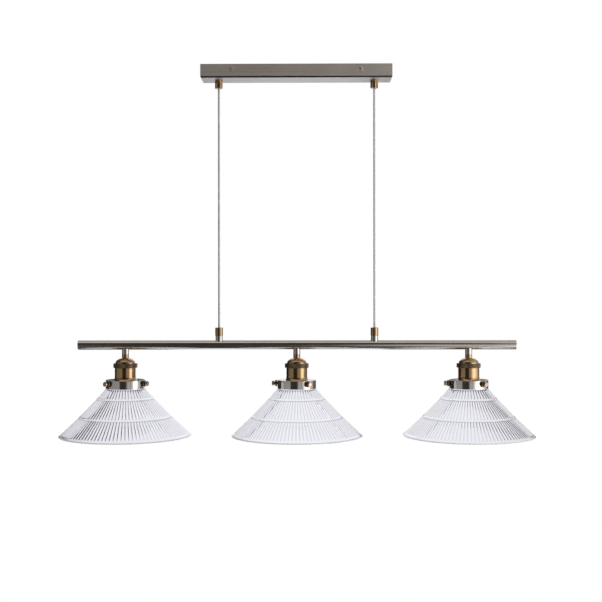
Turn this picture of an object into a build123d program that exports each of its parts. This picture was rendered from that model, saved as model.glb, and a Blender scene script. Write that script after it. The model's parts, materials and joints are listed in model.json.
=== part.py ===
"""Bar pendant: a ceiling canopy, two taut flexes, a bar and three lampholders with fluted glass shades.

Millimetres, +Z up. The origin is the middle of the canopy's open rim, on the ceiling. The bar runs
along X and the front of the light faces -Y.
"""

import math
import os

from build123d import *

# Clearances between pieces
seat_gap = 0.05  # between curved faces that are screwed up tight
hole_gap = 0.1  # around a screw, spigot or nut thread
slip_gap = 0.3  # around the flex, the glass and other loose pieces

# Ceiling canopy
flex_spacing = 296.0
canopy_overhang = 33.0  # from each flex to the end of the canopy
canopy_depth = 50.0
canopy_height = 26.0
canopy_wall = 1.0
canopy_outer_radius = 1.2
canopy_inner_radius = 0.4

# Slotted screws through the canopy's sides
canopy_screw_spacing = 243.0
canopy_screw_drop = 10.0
canopy_screw_diameter = 4.0
canopy_screw_length = 7.0
canopy_screw_head = 8.4
canopy_screw_head_height = 2.0
screw_head_edge = 1.2
screw_slot_width = 1.1
screw_slot_depth = 0.9

# Ceiling bracket inside the canopy
bracket_thickness = 1.5
bracket_width = 30.0
bracket_end = 8.0  # strip beyond each pair of ears
ear_width = 14.0
ear_tip = 6.0  # ear below its screw
ear_gap = 0.2  # between an ear and the canopy wall
slot_spacing = 180.0
slot_length = 20.0
slot_width = 5.0
slot_offset = 8.0  # slots lie this far forward of the flex run
cable_entry_diameter = 12.0
cable_entry_x = 52.0
cable_entry_y = 7.0

# Terminal block and earth screw under the bracket
block_pitch = 11.0
block_ways = 3
block_end = 1.65  # block beyond the outer ways
block_depth = 18.0
block_height = 13.0
block_bore = 6.2
insert_bore = 4.0
terminal_screw_diameter = 2.8
terminal_screw_inset = 4.0  # from the block's front and back faces
terminal_screw_sink = 1.0  # below the block's lower face
earth_x = -52.0
earth_y = 9.0
earth_screw_diameter = 4.0
earth_head_diameter = 7.0
earth_head_height = 2.6
earth_washer_diameter = 9.0
earth_washer_thickness = 1.0

# Brass cord grips under the canopy
gland_diameter = 14.8
gland_length = 16.0
gland_edge = 1.0
gland_neck_diameter = 10.0
gland_neck_rise = 6.5  # above the canopy's floor
nut_across_flats = 14.0
nut_thickness = 3.5
collet_wall = 1.2
collet_seat = 5.0  # bore between the collet and the mouth

# Flex
flex_diameter = 4.0
flex_run = 455.0  # bare flex between the grips
pivot_depth = 4.0  # the flex bends this far inside each mouth
bend_gap = 0.1  # between the bending stretch and the flex beside it
mouth_diameter = 8.4
mouth_depth = 4.5
tail_headroom = 2.5  # between the run in the canopy and the bracket

# Bar
lamp_spacing = 327.0
bar_overhang = 90.0  # from each outer lamp to the end of the bar
bar_diameter = 18.0
bar_wall = 1.2
bar_core_diameter = 5.0  # bundle of cores inside the bar
end_cap_thickness = 2.0
end_cap_plug = 8.0
end_cap_edge = 0.6

# Grips on the bar: a nickel base with a brass sleeve
sleeve_diameter = 14.8
sleeve_length = 15.5
sleeve_web = 4.0  # bore between the mouth and the base's thread
base_diameter = 13.6
base_length = 8.6
spigot_diameter = 10.0
spigot_clearance = 1.3  # between a spigot's end and the cores in the bar

# Edison-screw socket, 27 mm
socket_bore = 26.6
socket_wall = 0.6
insulator_bore_gap = 0.2
insulator_wall = 3.4
insulator_floor = 5.0
contact_diameter = 9.0
contact_thickness = 1.6
contact_gap = 1.0  # between the contact and the socket's upper end
rivet_diameter = 3.0

# Lampholder round the socket, from the bar down
stem_diameter = 13.3
stem_length = 8.9
cap_neck_length = 6.7
cap_wall = 1.4
dome_rise = 11.4
ring_wall = 3.65
ring_height = 8.1
ring_edge = 0.6
body_shoulder = 1.0  # ledge under the ring
body_length = 17.0
flare_reach = 2.25
flare_height = 6.1
thread_wall = 1.2  # wall of the thread below the flare
thread_end = 1.5  # thread below the clamp ring
ledge_height = 1.0  # inner ledge under the insulator
clamp_ring_wall = 5.1
clamp_ring_height = 4.0

# Shade gallery and its thumb screws
gallery_room = 1.2  # round the lip of the glass
gallery_height = 15.8
gallery_wall = 1.0
gallery_edge = 1.0
screws_per_gallery = 3
first_screw_angle = {"left": -46.0, "centre": 33.0, "right": 36.0}  # from the front, towards +X
thumb_screw_diameter = 4.0
thumb_screw_gap = 0.9  # under the lip of the glass
collar_gap = 0.4
collar_diameter = 12.0
collar_length = 4.0
collar_edge = 1.2
waist_diameter = 6.0
waist_length = 1.0
knob_diameter = 9.6
knob_length = 5.2
knob_edge = 1.5

# Pressed glass shade: a lipped neck and a cone in three fluted zones
neck_room = 4.6  # between the clamp ring and the glass
neck_thickness = 4.0
lip_reach = 2.2
lip_thickness = 2.0
shoulder_inset = 0.5  # shoulder inside the gallery's outer wall
zone_drops = [18.3, 34.6, 37.4]
zone_spreads = [15.9, 33.3, 39.3]
zone_flutes = [51, 81, 106]
glass_thickness = 4.0
collar_band = 2.6
band_height = 5.0
band_rise = 0.7
flute_depth = 1.2
flute_inset = 0.3  # flute ridges lie this far under the outer line

# Radii that follow from the sizes
flex_radius = flex_diameter / 2
flex_bore = flex_radius + slip_gap
bar_radius = bar_diameter / 2
bar_bore = bar_radius - bar_wall
core_radius = bar_core_diameter / 2
spigot_radius = spigot_diameter / 2
spigot_hole = spigot_radius + hole_gap
shell_radius = socket_bore / 2 + socket_wall
insulator_bore = shell_radius + insulator_bore_gap
insulator_radius = insulator_bore + insulator_wall
holder_bore = insulator_radius + hole_gap
ledge_bore = (holder_bore + insulator_bore) / 2
joint_radius = holder_bore + cap_wall
ring_bore = joint_radius + hole_gap
ring_radius = ring_bore + ring_wall
body_radius = joint_radius + body_shoulder
flare_radius = body_radius + flare_reach
thread_radius = holder_bore + thread_wall
thread_hole = thread_radius + hole_gap
clamp_ring_radius = thread_hole + clamp_ring_wall
neck_bore = clamp_ring_radius + neck_room
neck_radius = neck_bore + neck_thickness
lip_radius = neck_radius + lip_reach
gallery_radius = lip_radius + gallery_room + gallery_wall
shoulder_radius = gallery_radius - shoulder_inset

# Heights that follow from the sizes
canopy_floor = -canopy_height
canopy_inside = canopy_floor + canopy_wall
bracket_underside = -bracket_thickness
block_underside = bracket_underside - block_height
gland_neck_top = canopy_inside + gland_neck_rise
gland_mouth = canopy_floor - gland_length
collet_foot = gland_mouth + mouth_depth + collet_seat
upper_pivot = gland_mouth + pivot_depth
sleeve_top = gland_mouth - flex_run
lower_pivot = sleeve_top - pivot_depth
sleeve_foot = sleeve_top - sleeve_length
sleeve_thread_top = sleeve_top - mouth_depth - sleeve_web
bar_top = sleeve_foot - base_length
bar_axis = bar_top - bar_radius
bar_underside = bar_axis - bar_radius
stem_foot = bar_underside - stem_length
neck_foot = stem_foot - cap_neck_length
ring_top = neck_foot - dome_rise * math.sqrt(1 - (stem_diameter / 2 / joint_radius) ** 2)
ring_middle = ring_top - ring_height / 2
ring_foot = ring_top - ring_height
flare_top = ring_foot - body_length
gallery_top = flare_top - flare_height
plate_underside = gallery_top - gallery_wall
gallery_foot = gallery_top - gallery_height
thread_foot = plate_underside - clamp_ring_height - thread_end
insulator_foot = thread_foot + ledge_height
neck_top = plate_underside - slip_gap
lip_foot = neck_top - lip_thickness
thumb_screw_z = lip_foot - thumb_screw_gap - thumb_screw_diameter / 2
shoulder_z = gallery_foot - slip_gap

# Lengths along X that follow from the sizes
canopy_length = flex_spacing + 2 * canopy_overhang
bracket_length = canopy_screw_spacing + ear_width + 2 * bracket_end
ear_span = canopy_depth - 2 * canopy_wall - 2 * ear_gap
block_length = block_pitch * block_ways + 2 * block_end
bar_length = 2 * (lamp_spacing + bar_overhang)
tube_length = bar_length - 2 * end_cap_thickness
lamps = {"left": -lamp_spacing, "centre": 0.0, "right": lamp_spacing}
sides = {"left": -flex_spacing / 2, "right": flex_spacing / 2}

os.makedirs("parts", exist_ok=True)


def save(piece, name):
    """Label a finished piece and write it as one node."""
    piece.part.label = name
    export_step(piece.part, f"parts/{name}.step")


def upright(x):
    """Plane through the upright axis at x, with local coordinates (radius, height)."""
    return Plane(origin=(x, 0, 0), x_dir=(1, 0, 0), z_dir=(0, -1, 0))


def turn(outline, x, mode=Mode.ADD):
    """Turn a closed (radius, height) outline about the upright axis at x."""
    with BuildSketch(upright(x)) as face:
        with BuildLine():
            Polyline(*outline, close=True)
        make_face()
    revolve(face.sketch, axis=Axis((x, 0, 0), (0, 0, 1)), mode=mode)


def rim_edges(piece, radius, z):
    """Circular edges of a piece with this radius at this height."""
    circles = piece.edges().filter_by(GeomType.CIRCLE)
    return [e for e in circles if abs(e.radius - radius) < 0.01 and abs(e.center().Z - z) < 0.01]


# Canopy: a folded sheet box, open to the ceiling
with BuildPart() as canopy_shell:
    with BuildSketch():
        RectangleRounded(canopy_length, canopy_depth, canopy_outer_radius)
    extrude(amount=-canopy_height)
    fillet(canopy_shell.faces().sort_by(Axis.Z)[0].edges(), canopy_outer_radius)
    with BuildSketch():
        RectangleRounded(canopy_length - 2 * canopy_wall, canopy_depth - 2 * canopy_wall, canopy_inner_radius)
    extrude(amount=canopy_inside, mode=Mode.SUBTRACT)
    with BuildSketch(Plane.XY.offset(canopy_floor)):
        with GridLocations(flex_spacing, 1, 2, 1):
            Circle(gland_neck_diameter / 2 + hole_gap)
    extrude(amount=canopy_wall, mode=Mode.SUBTRACT)
    with BuildSketch(Plane.XZ):
        with Locations((0, -canopy_screw_drop)):
            with GridLocations(canopy_screw_spacing, 1, 2, 1):
                Circle(canopy_screw_diameter / 2 + hole_gap)
    extrude(amount=canopy_depth, both=True, mode=Mode.SUBTRACT)
save(canopy_shell, "canopy_shell")

# Bracket: a strip on the ceiling whose folded ears take the canopy's side screws
with BuildPart() as bracket:
    with BuildSketch():
        Rectangle(bracket_length, bracket_width)
        with GridLocations(canopy_screw_spacing, 1, 2, 1):
            Rectangle(ear_width, ear_span)
        with Locations((0, -slot_offset)):
            with GridLocations(slot_spacing, 1, 2, 1):
                SlotOverall(slot_length, slot_width, mode=Mode.SUBTRACT)
        with Locations((cable_entry_x, cable_entry_y)):
            Circle(cable_entry_diameter / 2, mode=Mode.SUBTRACT)
        with Locations((earth_x, earth_y)):
            Circle(earth_screw_diameter / 2 + hole_gap, mode=Mode.SUBTRACT)
    extrude(amount=-bracket_thickness)
    with BuildSketch():
        with GridLocations(canopy_screw_spacing, ear_span - bracket_thickness, 2, 2):
            Rectangle(ear_width, bracket_thickness)
    extrude(amount=-canopy_screw_drop - ear_tip)
    with BuildSketch(Plane.XZ):
        with Locations((0, -canopy_screw_drop)):
            with GridLocations(canopy_screw_spacing, 1, 2, 1):
                Circle(canopy_screw_diameter / 2 + hole_gap)
    extrude(amount=canopy_depth, both=True, mode=Mode.SUBTRACT)
save(bracket, "mounting_bracket")

# Canopy screws: slotted heads on the front and back faces
screw_seats = [
    Plane(origin=(x, facing * canopy_depth / 2, -canopy_screw_drop), x_dir=(1, 0, 0), z_dir=(0, facing, 0))
    for facing in (-1, 1)
    for x in (-canopy_screw_spacing / 2, canopy_screw_spacing / 2)
]
head_crown = canopy_depth / 2 + canopy_screw_head_height
with BuildPart() as canopy_screws:
    for seat in screw_seats:
        with BuildSketch(seat):
            Circle(canopy_screw_head / 2)
        extrude(amount=canopy_screw_head_height)
    rounds = canopy_screws.edges().filter_by(GeomType.CIRCLE)
    fillet(rounds.filter_by(lambda e: abs(abs(e.center().Y) - head_crown) < 0.01), screw_head_edge)
    for seat in screw_seats:
        with BuildSketch(seat):
            Circle(canopy_screw_diameter / 2)
        extrude(amount=-canopy_screw_length)
        with BuildSketch(seat.offset(canopy_screw_head_height)):
            Rectangle(canopy_screw_head, screw_slot_width)
        extrude(amount=-screw_slot_depth, mode=Mode.SUBTRACT)
save(canopy_screws, "canopy_screws")

# Terminal block: a moulded body with a brass tube and two screws for each wire
block_middle = (bracket_underside + block_underside) / 2
block_screw_span = block_depth - 2 * terminal_screw_inset
with BuildPart() as terminal_block:
    with BuildSketch(Plane.XY.offset(bracket_underside)):
        Rectangle(block_length, block_depth)
    extrude(amount=-block_height)
    with BuildSketch(Plane.XZ):
        with Locations((0, block_middle)):
            with GridLocations(block_pitch, 1, block_ways, 1):
                Circle(block_bore / 2)
    extrude(amount=block_depth, both=True, mode=Mode.SUBTRACT)
    with BuildSketch(Plane.XY.offset(block_underside)):
        with GridLocations(block_pitch, block_screw_span, block_ways, 2):
            Circle(terminal_screw_diameter / 2 + hole_gap)
    extrude(amount=block_height / 2, mode=Mode.SUBTRACT)
save(terminal_block, "terminal_block")

with BuildPart() as terminal_inserts:
    with BuildSketch(Plane.XZ):
        with Locations((0, block_middle)):
            with GridLocations(block_pitch, 1, block_ways, 1):
                Circle(block_bore / 2 - hole_gap)
                Circle(insert_bore / 2, mode=Mode.SUBTRACT)
    extrude(amount=block_depth / 2, both=True)
    with BuildSketch(Plane.XY.offset(block_underside)):
        with GridLocations(block_pitch, block_screw_span, block_ways, 2):
            Circle(terminal_screw_diameter / 2 + hole_gap)
    extrude(amount=block_height / 2, mode=Mode.SUBTRACT)
save(terminal_inserts, "terminal_inserts")

with BuildPart() as terminal_screws:
    with BuildSketch(Plane.XY.offset(block_underside + terminal_screw_sink)):
        with GridLocations(block_pitch, block_screw_span, block_ways, 2):
            Circle(terminal_screw_diameter / 2)
    extrude(amount=block_height / 2 - insert_bore / 2 - terminal_screw_sink)
save(terminal_screws, "terminal_screws")

with BuildPart() as earth_terminal:
    with BuildSketch(Plane((earth_x, earth_y, bracket_underside))):
        Circle(earth_washer_diameter / 2)
    extrude(amount=-earth_washer_thickness)
    with BuildSketch(Plane((earth_x, earth_y, bracket_underside - earth_washer_thickness))):
        Circle(earth_head_diameter / 2)
    extrude(amount=-earth_head_height)
    with BuildSketch(Plane((earth_x, earth_y, bracket_underside))):
        Circle(earth_screw_diameter / 2)
    extrude(amount=bracket_thickness)
save(earth_terminal, "earth_terminal")

# Upper cord grips: brass bodies under the canopy, each with a threaded neck through its floor
collet_radius = flex_radius + hole_gap + collet_wall
for side, x in sides.items():
    with BuildPart() as upper_gland:
        turn(
            [
                (collet_radius + hole_gap, gland_neck_top),
                (gland_neck_diameter / 2, gland_neck_top),
                (gland_neck_diameter / 2, canopy_floor),
                (gland_diameter / 2, canopy_floor),
                (gland_diameter / 2, gland_mouth),
                (mouth_diameter / 2, gland_mouth),
                (flex_bore, gland_mouth + mouth_depth),
                (flex_bore, collet_foot - hole_gap),
                (collet_radius + hole_gap, collet_foot - hole_gap),
            ],
            x,
        )
        fillet(rim_edges(upper_gland, gland_diameter / 2, gland_mouth), gland_edge)
    save(upper_gland, f"upper_gland_{side}")

with BuildPart() as gland_locknuts:
    with BuildSketch(Plane.XY.offset(canopy_inside)):
        with GridLocations(flex_spacing, 1, 2, 1):
            RegularPolygon(nut_across_flats / 2, 6, major_radius=False)
            Circle(gland_neck_diameter / 2 + hole_gap, mode=Mode.SUBTRACT)
    extrude(amount=nut_thickness)
save(gland_locknuts, "gland_locknuts")

with BuildPart() as cord_collets:
    with BuildSketch(Plane.XY.offset(collet_foot)):
        with GridLocations(flex_spacing, 1, 2, 1):
            Circle(collet_radius)
            Circle(flex_radius + hole_gap, mode=Mode.SUBTRACT)
    extrude(amount=gland_neck_top - collet_foot)
save(cord_collets, "cord_collets")

# Flex inside the canopy: up through each grip, then along under the bracket to the terminal block
tail_z = bracket_underside - tail_headroom - flex_radius
tail_bend = tail_z - gland_neck_top
with BuildPart() as flex_tails:
    for x in sides.values():
        inward = -math.copysign(1.0, x)
        with BuildLine():
            FilletPolyline(
                (x, 0, upper_pivot + flex_radius + bend_gap),
                (x, 0, tail_z),
                (-inward * block_length / 2, 0, tail_z),
                radius=tail_bend,
            )
        with BuildSketch(Plane((x, 0, upper_pivot + flex_radius + bend_gap))):
            Circle(flex_radius)
        sweep()
save(flex_tails, "flex_tails")

# Flex outside: a short bending stretch at each upper mouth, then the two taut runs
with BuildPart() as flex_bends_upper:
    with Locations(*[(x, 0, upper_pivot) for x in sides.values()]):
        Sphere(flex_radius)
save(flex_bends_upper, "flex_bends_upper")

flex_top = upper_pivot - flex_radius - bend_gap
with BuildPart() as flex_left:
    with BuildSketch(Plane((sides["left"], 0, flex_top))):
        Circle(flex_radius)
    extrude(amount=lower_pivot + flex_radius + bend_gap - flex_top)
save(flex_left, "flex_left")

with BuildPart() as flex_bend_lower:
    with Locations((sides["left"], 0, lower_pivot)):
        Sphere(flex_radius)
save(flex_bend_lower, "flex_bend_lower")

with BuildPart() as flex_right:
    with BuildSketch(Plane((sides["right"], 0, flex_top))):
        Circle(flex_radius)
    extrude(amount=lower_pivot - flex_top)
    with Locations((sides["right"], 0, lower_pivot)):
        Sphere(flex_radius)
save(flex_right, "flex_right")

# Bar: a tube with holes for the two grips and the three stems, and a plugged cap at each end
with BuildPart() as bar_tube:
    with BuildSketch(Plane.YZ.offset(-tube_length / 2)):
        with Locations((0, bar_axis)):
            Circle(bar_radius)
            Circle(bar_bore, mode=Mode.SUBTRACT)
    extrude(amount=tube_length)
    with BuildSketch(Plane.XY.offset(bar_axis)):
        with GridLocations(flex_spacing, 1, 2, 1):
            Circle(spigot_hole)
    extrude(amount=bar_diameter, mode=Mode.SUBTRACT)
    with BuildSketch(Plane.XY.offset(bar_axis)):
        with GridLocations(lamp_spacing, 1, 3, 1):
            Circle(spigot_hole)
    extrude(amount=-bar_diameter, mode=Mode.SUBTRACT)
save(bar_tube, "bar_tube")

for side, outward in {"left": -1, "right": 1}.items():
    face = Plane(origin=(outward * tube_length / 2, 0, bar_axis), z_dir=(outward, 0, 0))
    with BuildPart() as bar_end_cap:
        with BuildSketch(face):
            Circle(bar_radius)
        extrude(amount=end_cap_thickness)
        outer_rim = bar_end_cap.faces().sort_by(Axis.X)[-1 if outward > 0 else 0].edges()
        fillet(outer_rim, end_cap_edge)
        with BuildSketch(face):
            Circle(bar_bore - seat_gap)
        extrude(amount=-end_cap_plug)
    save(bar_end_cap, f"bar_end_cap_{side}")

# Grips on the bar: the base is cut to the bar and holds the sleeve on its thread
for side, x in sides.items():
    with BuildPart() as gland_base:
        turn(
            [
                (flex_bore, sleeve_thread_top - hole_gap),
                (spigot_radius, sleeve_thread_top - hole_gap),
                (spigot_radius, sleeve_foot),
                (base_diameter / 2, sleeve_foot),
                (base_diameter / 2, bar_axis),
                (flex_bore, bar_axis),
            ],
            x,
        )
        with BuildSketch(Plane.YZ.offset(x - base_diameter)):
            with Locations((0, bar_axis)):
                Circle(bar_radius + seat_gap)
        extrude(amount=2 * base_diameter, mode=Mode.SUBTRACT)
        turn(
            [
                (flex_bore, sleeve_foot),
                (spigot_radius, sleeve_foot),
                (spigot_radius, bar_axis + core_radius + spigot_clearance),
                (flex_bore, bar_axis + core_radius + spigot_clearance),
            ],
            x,
        )
    save(gland_base, f"bar_gland_base_{side}")

    with BuildPart() as gland_sleeve:
        turn(
            [
                (mouth_diameter / 2, sleeve_top),
                (sleeve_diameter / 2, sleeve_top),
                (sleeve_diameter / 2, sleeve_foot),
                (spigot_hole, sleeve_foot),
                (spigot_hole, sleeve_thread_top),
                (flex_bore, sleeve_thread_top),
                (flex_bore, sleeve_top - mouth_depth),
            ],
            x,
        )
        fillet(rim_edges(gland_sleeve, sleeve_diameter / 2, sleeve_top), gland_edge)
    save(gland_sleeve, f"bar_gland_sleeve_{side}")

# Wiring inside the bar: down from both grips, along the bar and down each stem to the sockets
with BuildPart() as bar_wiring:
    with BuildSketch(Plane.YZ):
        with Locations((0, bar_axis)):
            Circle(core_radius)
    extrude(amount=lamp_spacing + bar_core_diameter, both=True)
    with BuildSketch(Plane.XY.offset(bar_axis)):
        with GridLocations(flex_spacing, 1, 2, 1):
            Circle(flex_radius)
    extrude(amount=lower_pivot - flex_radius - bend_gap - bar_axis)
    with BuildSketch(Plane.XY.offset(bar_axis)):
        with GridLocations(lamp_spacing, 1, 3, 1):
            Circle(flex_radius)
    extrude(amount=ring_middle + hole_gap - bar_axis)
save(bar_wiring, "bar_wiring")

# Stems between the bar and the lampholders
for lamp, x in lamps.items():
    with BuildPart() as stem:
        turn(
            [
                (flex_bore, bar_axis),
                (stem_diameter / 2, bar_axis),
                (stem_diameter / 2, stem_foot),
                (spigot_radius, stem_foot),
                (spigot_radius, neck_foot),
                (flex_bore, neck_foot),
            ],
            x,
        )
        with BuildSketch(Plane.YZ.offset(x - stem_diameter)):
            with Locations((0, bar_axis)):
                Circle(bar_radius + seat_gap)
        extrude(amount=2 * stem_diameter, mode=Mode.SUBTRACT)
        turn(
            [
                (flex_bore, bar_axis - core_radius - spigot_clearance),
                (spigot_radius, bar_axis - core_radius - spigot_clearance),
                (spigot_radius, stem_foot),
                (flex_bore, stem_foot),
            ],
            x,
        )
    save(stem, f"stem_{lamp}")

# Lampholder caps: a neck on a spun dome, closed by the knurled ring
inner_rise = dome_rise - cap_wall
cap_bore_foot = ring_top + inner_rise * math.sqrt(1 - (spigot_hole / holder_bore) ** 2)
outer_angle = math.degrees(math.acos(stem_diameter / 2 / joint_radius))
inner_angle = math.degrees(math.acos(spigot_hole / holder_bore))
for lamp, x in lamps.items():
    with BuildPart() as lampholder_cap:
        with BuildSketch(upright(x)):
            with BuildLine():
                Polyline(
                    (stem_diameter / 2, neck_foot),
                    (stem_diameter / 2, stem_foot),
                    (spigot_hole, stem_foot),
                    (spigot_hole, cap_bore_foot),
                )
                EllipticalCenterArc((0, ring_top), holder_bore, inner_rise, arc_size=inner_angle)
                Polyline(
                    (holder_bore, ring_top),
                    (holder_bore, ring_middle),
                    (joint_radius, ring_middle),
                    (joint_radius, ring_top),
                )
                EllipticalCenterArc((0, ring_top), joint_radius, dome_rise, arc_size=outer_angle)
            make_face()
        revolve(axis=Axis((x, 0, 0), (0, 0, 1)))
    save(lampholder_cap, f"lampholder_cap_{lamp}")

    with BuildPart() as lampholder_ring:
        with BuildSketch(Plane((x, 0, ring_foot))):
            Circle(ring_radius)
            Circle(ring_bore, mode=Mode.SUBTRACT)
        extrude(amount=ring_height)
        chamfer(rim_edges(lampholder_ring, ring_radius, ring_top), ring_edge)
        chamfer(rim_edges(lampholder_ring, ring_radius, ring_foot), ring_edge)
    save(lampholder_ring, f"lampholder_ring_{lamp}")

# Lampholder bodies: a tube with a flared foot on the gallery and a thread through it
for lamp, x in lamps.items():
    with BuildPart() as lampholder_body:
        with BuildSketch(upright(x)):
            with BuildLine():
                Polyline(
                    (flare_radius, gallery_top),
                    (thread_radius, gallery_top),
                    (thread_radius, thread_foot),
                    (ledge_bore, thread_foot),
                    (ledge_bore, insulator_foot),
                    (holder_bore, insulator_foot),
                    (holder_bore, ring_middle),
                    (joint_radius, ring_middle),
                    (joint_radius, ring_foot),
                    (body_radius, ring_foot),
                    (body_radius, flare_top),
                )
                TangentArc(
                    (body_radius, flare_top),
                    (flare_radius, gallery_top),
                    tangent=(0, -1),
                )
            make_face()
        revolve(axis=Axis((x, 0, 0), (0, 0, 1)))
    save(lampholder_body, f"lampholder_body_{lamp}")

# Sockets: a ceramic insulator holding the screw shell, with a contact riveted to its floor
floor_underside = ring_middle - insulator_floor
shell_top = floor_underside - contact_thickness - contact_gap
for lamp, x in lamps.items():
    with BuildPart() as socket_insulator:
        turn(
            [
                (rivet_diameter / 2 + hole_gap, ring_middle),
                (insulator_radius, ring_middle),
                (insulator_radius, insulator_foot),
                (insulator_bore, insulator_foot),
                (insulator_bore, floor_underside),
                (rivet_diameter / 2 + hole_gap, floor_underside),
            ],
            x,
        )
    save(socket_insulator, f"socket_insulator_{lamp}")

    with BuildPart() as socket_shell:
        turn(
            [
                (socket_bore / 2, shell_top),
                (shell_radius, shell_top),
                (shell_radius, insulator_foot),
                (socket_bore / 2, insulator_foot),
            ],
            x,
        )
    save(socket_shell, f"socket_shell_{lamp}")

with BuildPart() as centre_contacts:
    with BuildSketch(Plane.XY.offset(floor_underside)):
        with GridLocations(lamp_spacing, 1, 3, 1):
            Circle(contact_diameter / 2)
    extrude(amount=-contact_thickness)
    with BuildSketch(Plane.XY.offset(floor_underside)):
        with GridLocations(lamp_spacing, 1, 3, 1):
            Circle(rivet_diameter / 2)
    extrude(amount=insulator_floor)
save(centre_contacts, "centre_contacts")

# Galleries: spun cups clamped under the lampholders, each with tapped holes for its thumb screws
for lamp, x in lamps.items():
    with BuildPart() as gallery:
        turn(
            [
                (thread_hole, gallery_top),
                (gallery_radius, gallery_top),
                (gallery_radius, gallery_foot),
                (gallery_radius - gallery_wall, gallery_foot),
                (gallery_radius - gallery_wall, plate_underside),
                (thread_hole, plate_underside),
            ],
            x,
        )
        fillet(rim_edges(gallery, gallery_radius, gallery_top), gallery_edge)
        for number in range(screws_per_gallery):
            angle = math.radians(first_screw_angle[lamp] + number * 360 / screws_per_gallery)
            outward = (math.sin(angle), -math.cos(angle), 0)
            with BuildSketch(Plane(origin=(x, 0, thumb_screw_z), z_dir=outward)):
                Circle(thumb_screw_diameter / 2 + hole_gap)
            extrude(amount=2 * gallery_radius, mode=Mode.SUBTRACT)
    save(gallery, f"gallery_{lamp}")

with BuildPart() as gallery_clamp_rings:
    with BuildSketch(Plane.XY.offset(plate_underside)):
        with GridLocations(lamp_spacing, 1, 3, 1):
            Circle(clamp_ring_radius)
            Circle(thread_hole, mode=Mode.SUBTRACT)
    extrude(amount=-clamp_ring_height)
save(gallery_clamp_rings, "gallery_clamp_rings")

# Thumb screws: a shank to the glass neck, a collar, a waist and a round knob
tip = neck_radius + slip_gap
collar_start = gallery_radius + collar_gap
waist_start = collar_start + collar_length
knob_start = waist_start + waist_length
knob_end = knob_start + knob_length
collar_round = min(collar_edge, 0.45 * collar_length)
knob_round = min(knob_edge, 0.45 * knob_length, 0.45 * (knob_diameter - waist_diameter))
for lamp, x in lamps.items():
    for number in range(screws_per_gallery):
        angle = math.radians(first_screw_angle[lamp] + number * 360 / screws_per_gallery)
        outward = Vector(math.sin(angle), -math.cos(angle), 0)
        along = Plane(origin=(x, 0, thumb_screw_z), x_dir=outward, z_dir=outward.cross(Vector(0, 0, 1)))
        with BuildPart() as thumb_screw:
            with BuildSketch(along):
                with BuildLine():
                    Polyline(
                        (tip, 0),
                        (tip, thumb_screw_diameter / 2),
                        (collar_start, thumb_screw_diameter / 2),
                        (collar_start, collar_diameter / 2),
                        (waist_start, collar_diameter / 2),
                        (waist_start, waist_diameter / 2),
                        (knob_start, waist_diameter / 2),
                        (knob_start, knob_diameter / 2),
                        (knob_end, knob_diameter / 2),
                        (knob_end, 0),
                        close=True,
                    )
                make_face()
            revolve(axis=Axis((x, 0, thumb_screw_z), outward))
            circles = thumb_screw.edges().filter_by(GeomType.CIRCLE)
            fillet(circles.filter_by(lambda e: abs(e.radius - collar_diameter / 2) < 0.01), collar_round)
            circles = thumb_screw.edges().filter_by(GeomType.CIRCLE)
            fillet(circles.filter_by(lambda e: abs(e.radius - knob_diameter / 2) < 0.01), knob_round)
        save(thumb_screw, f"gallery_screw_{lamp}_{number + 1}")

# Glass shades: a lipped neck, then three fluted zones parted by two smooth bands and a smooth rim
line_radii = [shoulder_radius]
line_heights = [shoulder_z]
for drop, spread in zip(zone_drops, zone_spreads):
    line_radii.append(line_radii[-1] + spread)
    line_heights.append(line_heights[-1] - drop)
rim_z = line_heights[-1]
band_heights = line_heights[1:3]
zone_tops = [shoulder_z - collar_band] + [z - band_height / 2 for z in band_heights]
zone_feet = [z + band_height / 2 for z in band_heights] + [rim_z + band_height]
core_inset = flute_inset + flute_depth + slip_gap


def line_radius(z):
    """Radius of the shade's outer line at height z."""
    zone = sum(z < height for height in band_heights)
    share = (line_heights[zone] - z) / zone_drops[zone]
    return line_radii[zone] + share * zone_spreads[zone]


def star(z, flutes):
    """Corners of the fluted section at height z: ridges with valleys between them."""
    ridge = line_radius(z) - flute_inset
    corners = []
    for number in range(2 * flutes):
        angle = math.pi * number / flutes
        radius = ridge - flute_depth * (number % 2)
        corners.append((radius * math.cos(angle), radius * math.sin(angle)))
    return corners


def outer_outline():
    """Outer line of the glass from the neck to the rim, sunk behind the flutes."""
    points = [
        (0, neck_top),
        (lip_radius, neck_top),
        (lip_radius, lip_foot),
        (neck_radius, lip_foot),
        (neck_radius, shoulder_z),
        (shoulder_radius, shoulder_z),
    ]
    for zone in range(3):
        top = zone_tops[zone]
        foot = zone_feet[zone]
        if zone > 0:
            points.append((line_radii[zone] + band_rise, band_heights[zone - 1]))
        points += [
            (line_radius(top), top),
            (line_radius(top) - core_inset, top),
            (line_radius(foot) - core_inset, foot),
            (line_radius(foot), foot),
        ]
    points += [(line_radii[-1], rim_z), (0, rim_z)]
    return points


def inner_outline():
    """Inner line of the glass: the bore of the neck, then a smooth cone inside the flutes."""
    points = [(0, neck_top), (neck_bore, neck_top), (neck_bore, shoulder_z)]
    for radius, z in zip(line_radii[1:], line_heights[1:]):
        points.append((radius - glass_thickness - flute_depth, z))
    points.append((0, rim_z))
    return points


for lamp, x in lamps.items():
    with BuildPart() as glass_shade:
        turn(outer_outline(), x)
        for top, foot, flutes in zip(zone_tops, zone_feet, zone_flutes):
            for z in (top + slip_gap, foot - slip_gap):
                with BuildSketch(Plane((x, 0, z))):
                    with BuildLine():
                        Polyline(*star(z, flutes), close=True)
                    make_face()
            loft(ruled=True)
        turn(inner_outline(), x, mode=Mode.SUBTRACT)
    save(glass_shade, f"glass_shade_{lamp}")
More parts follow.
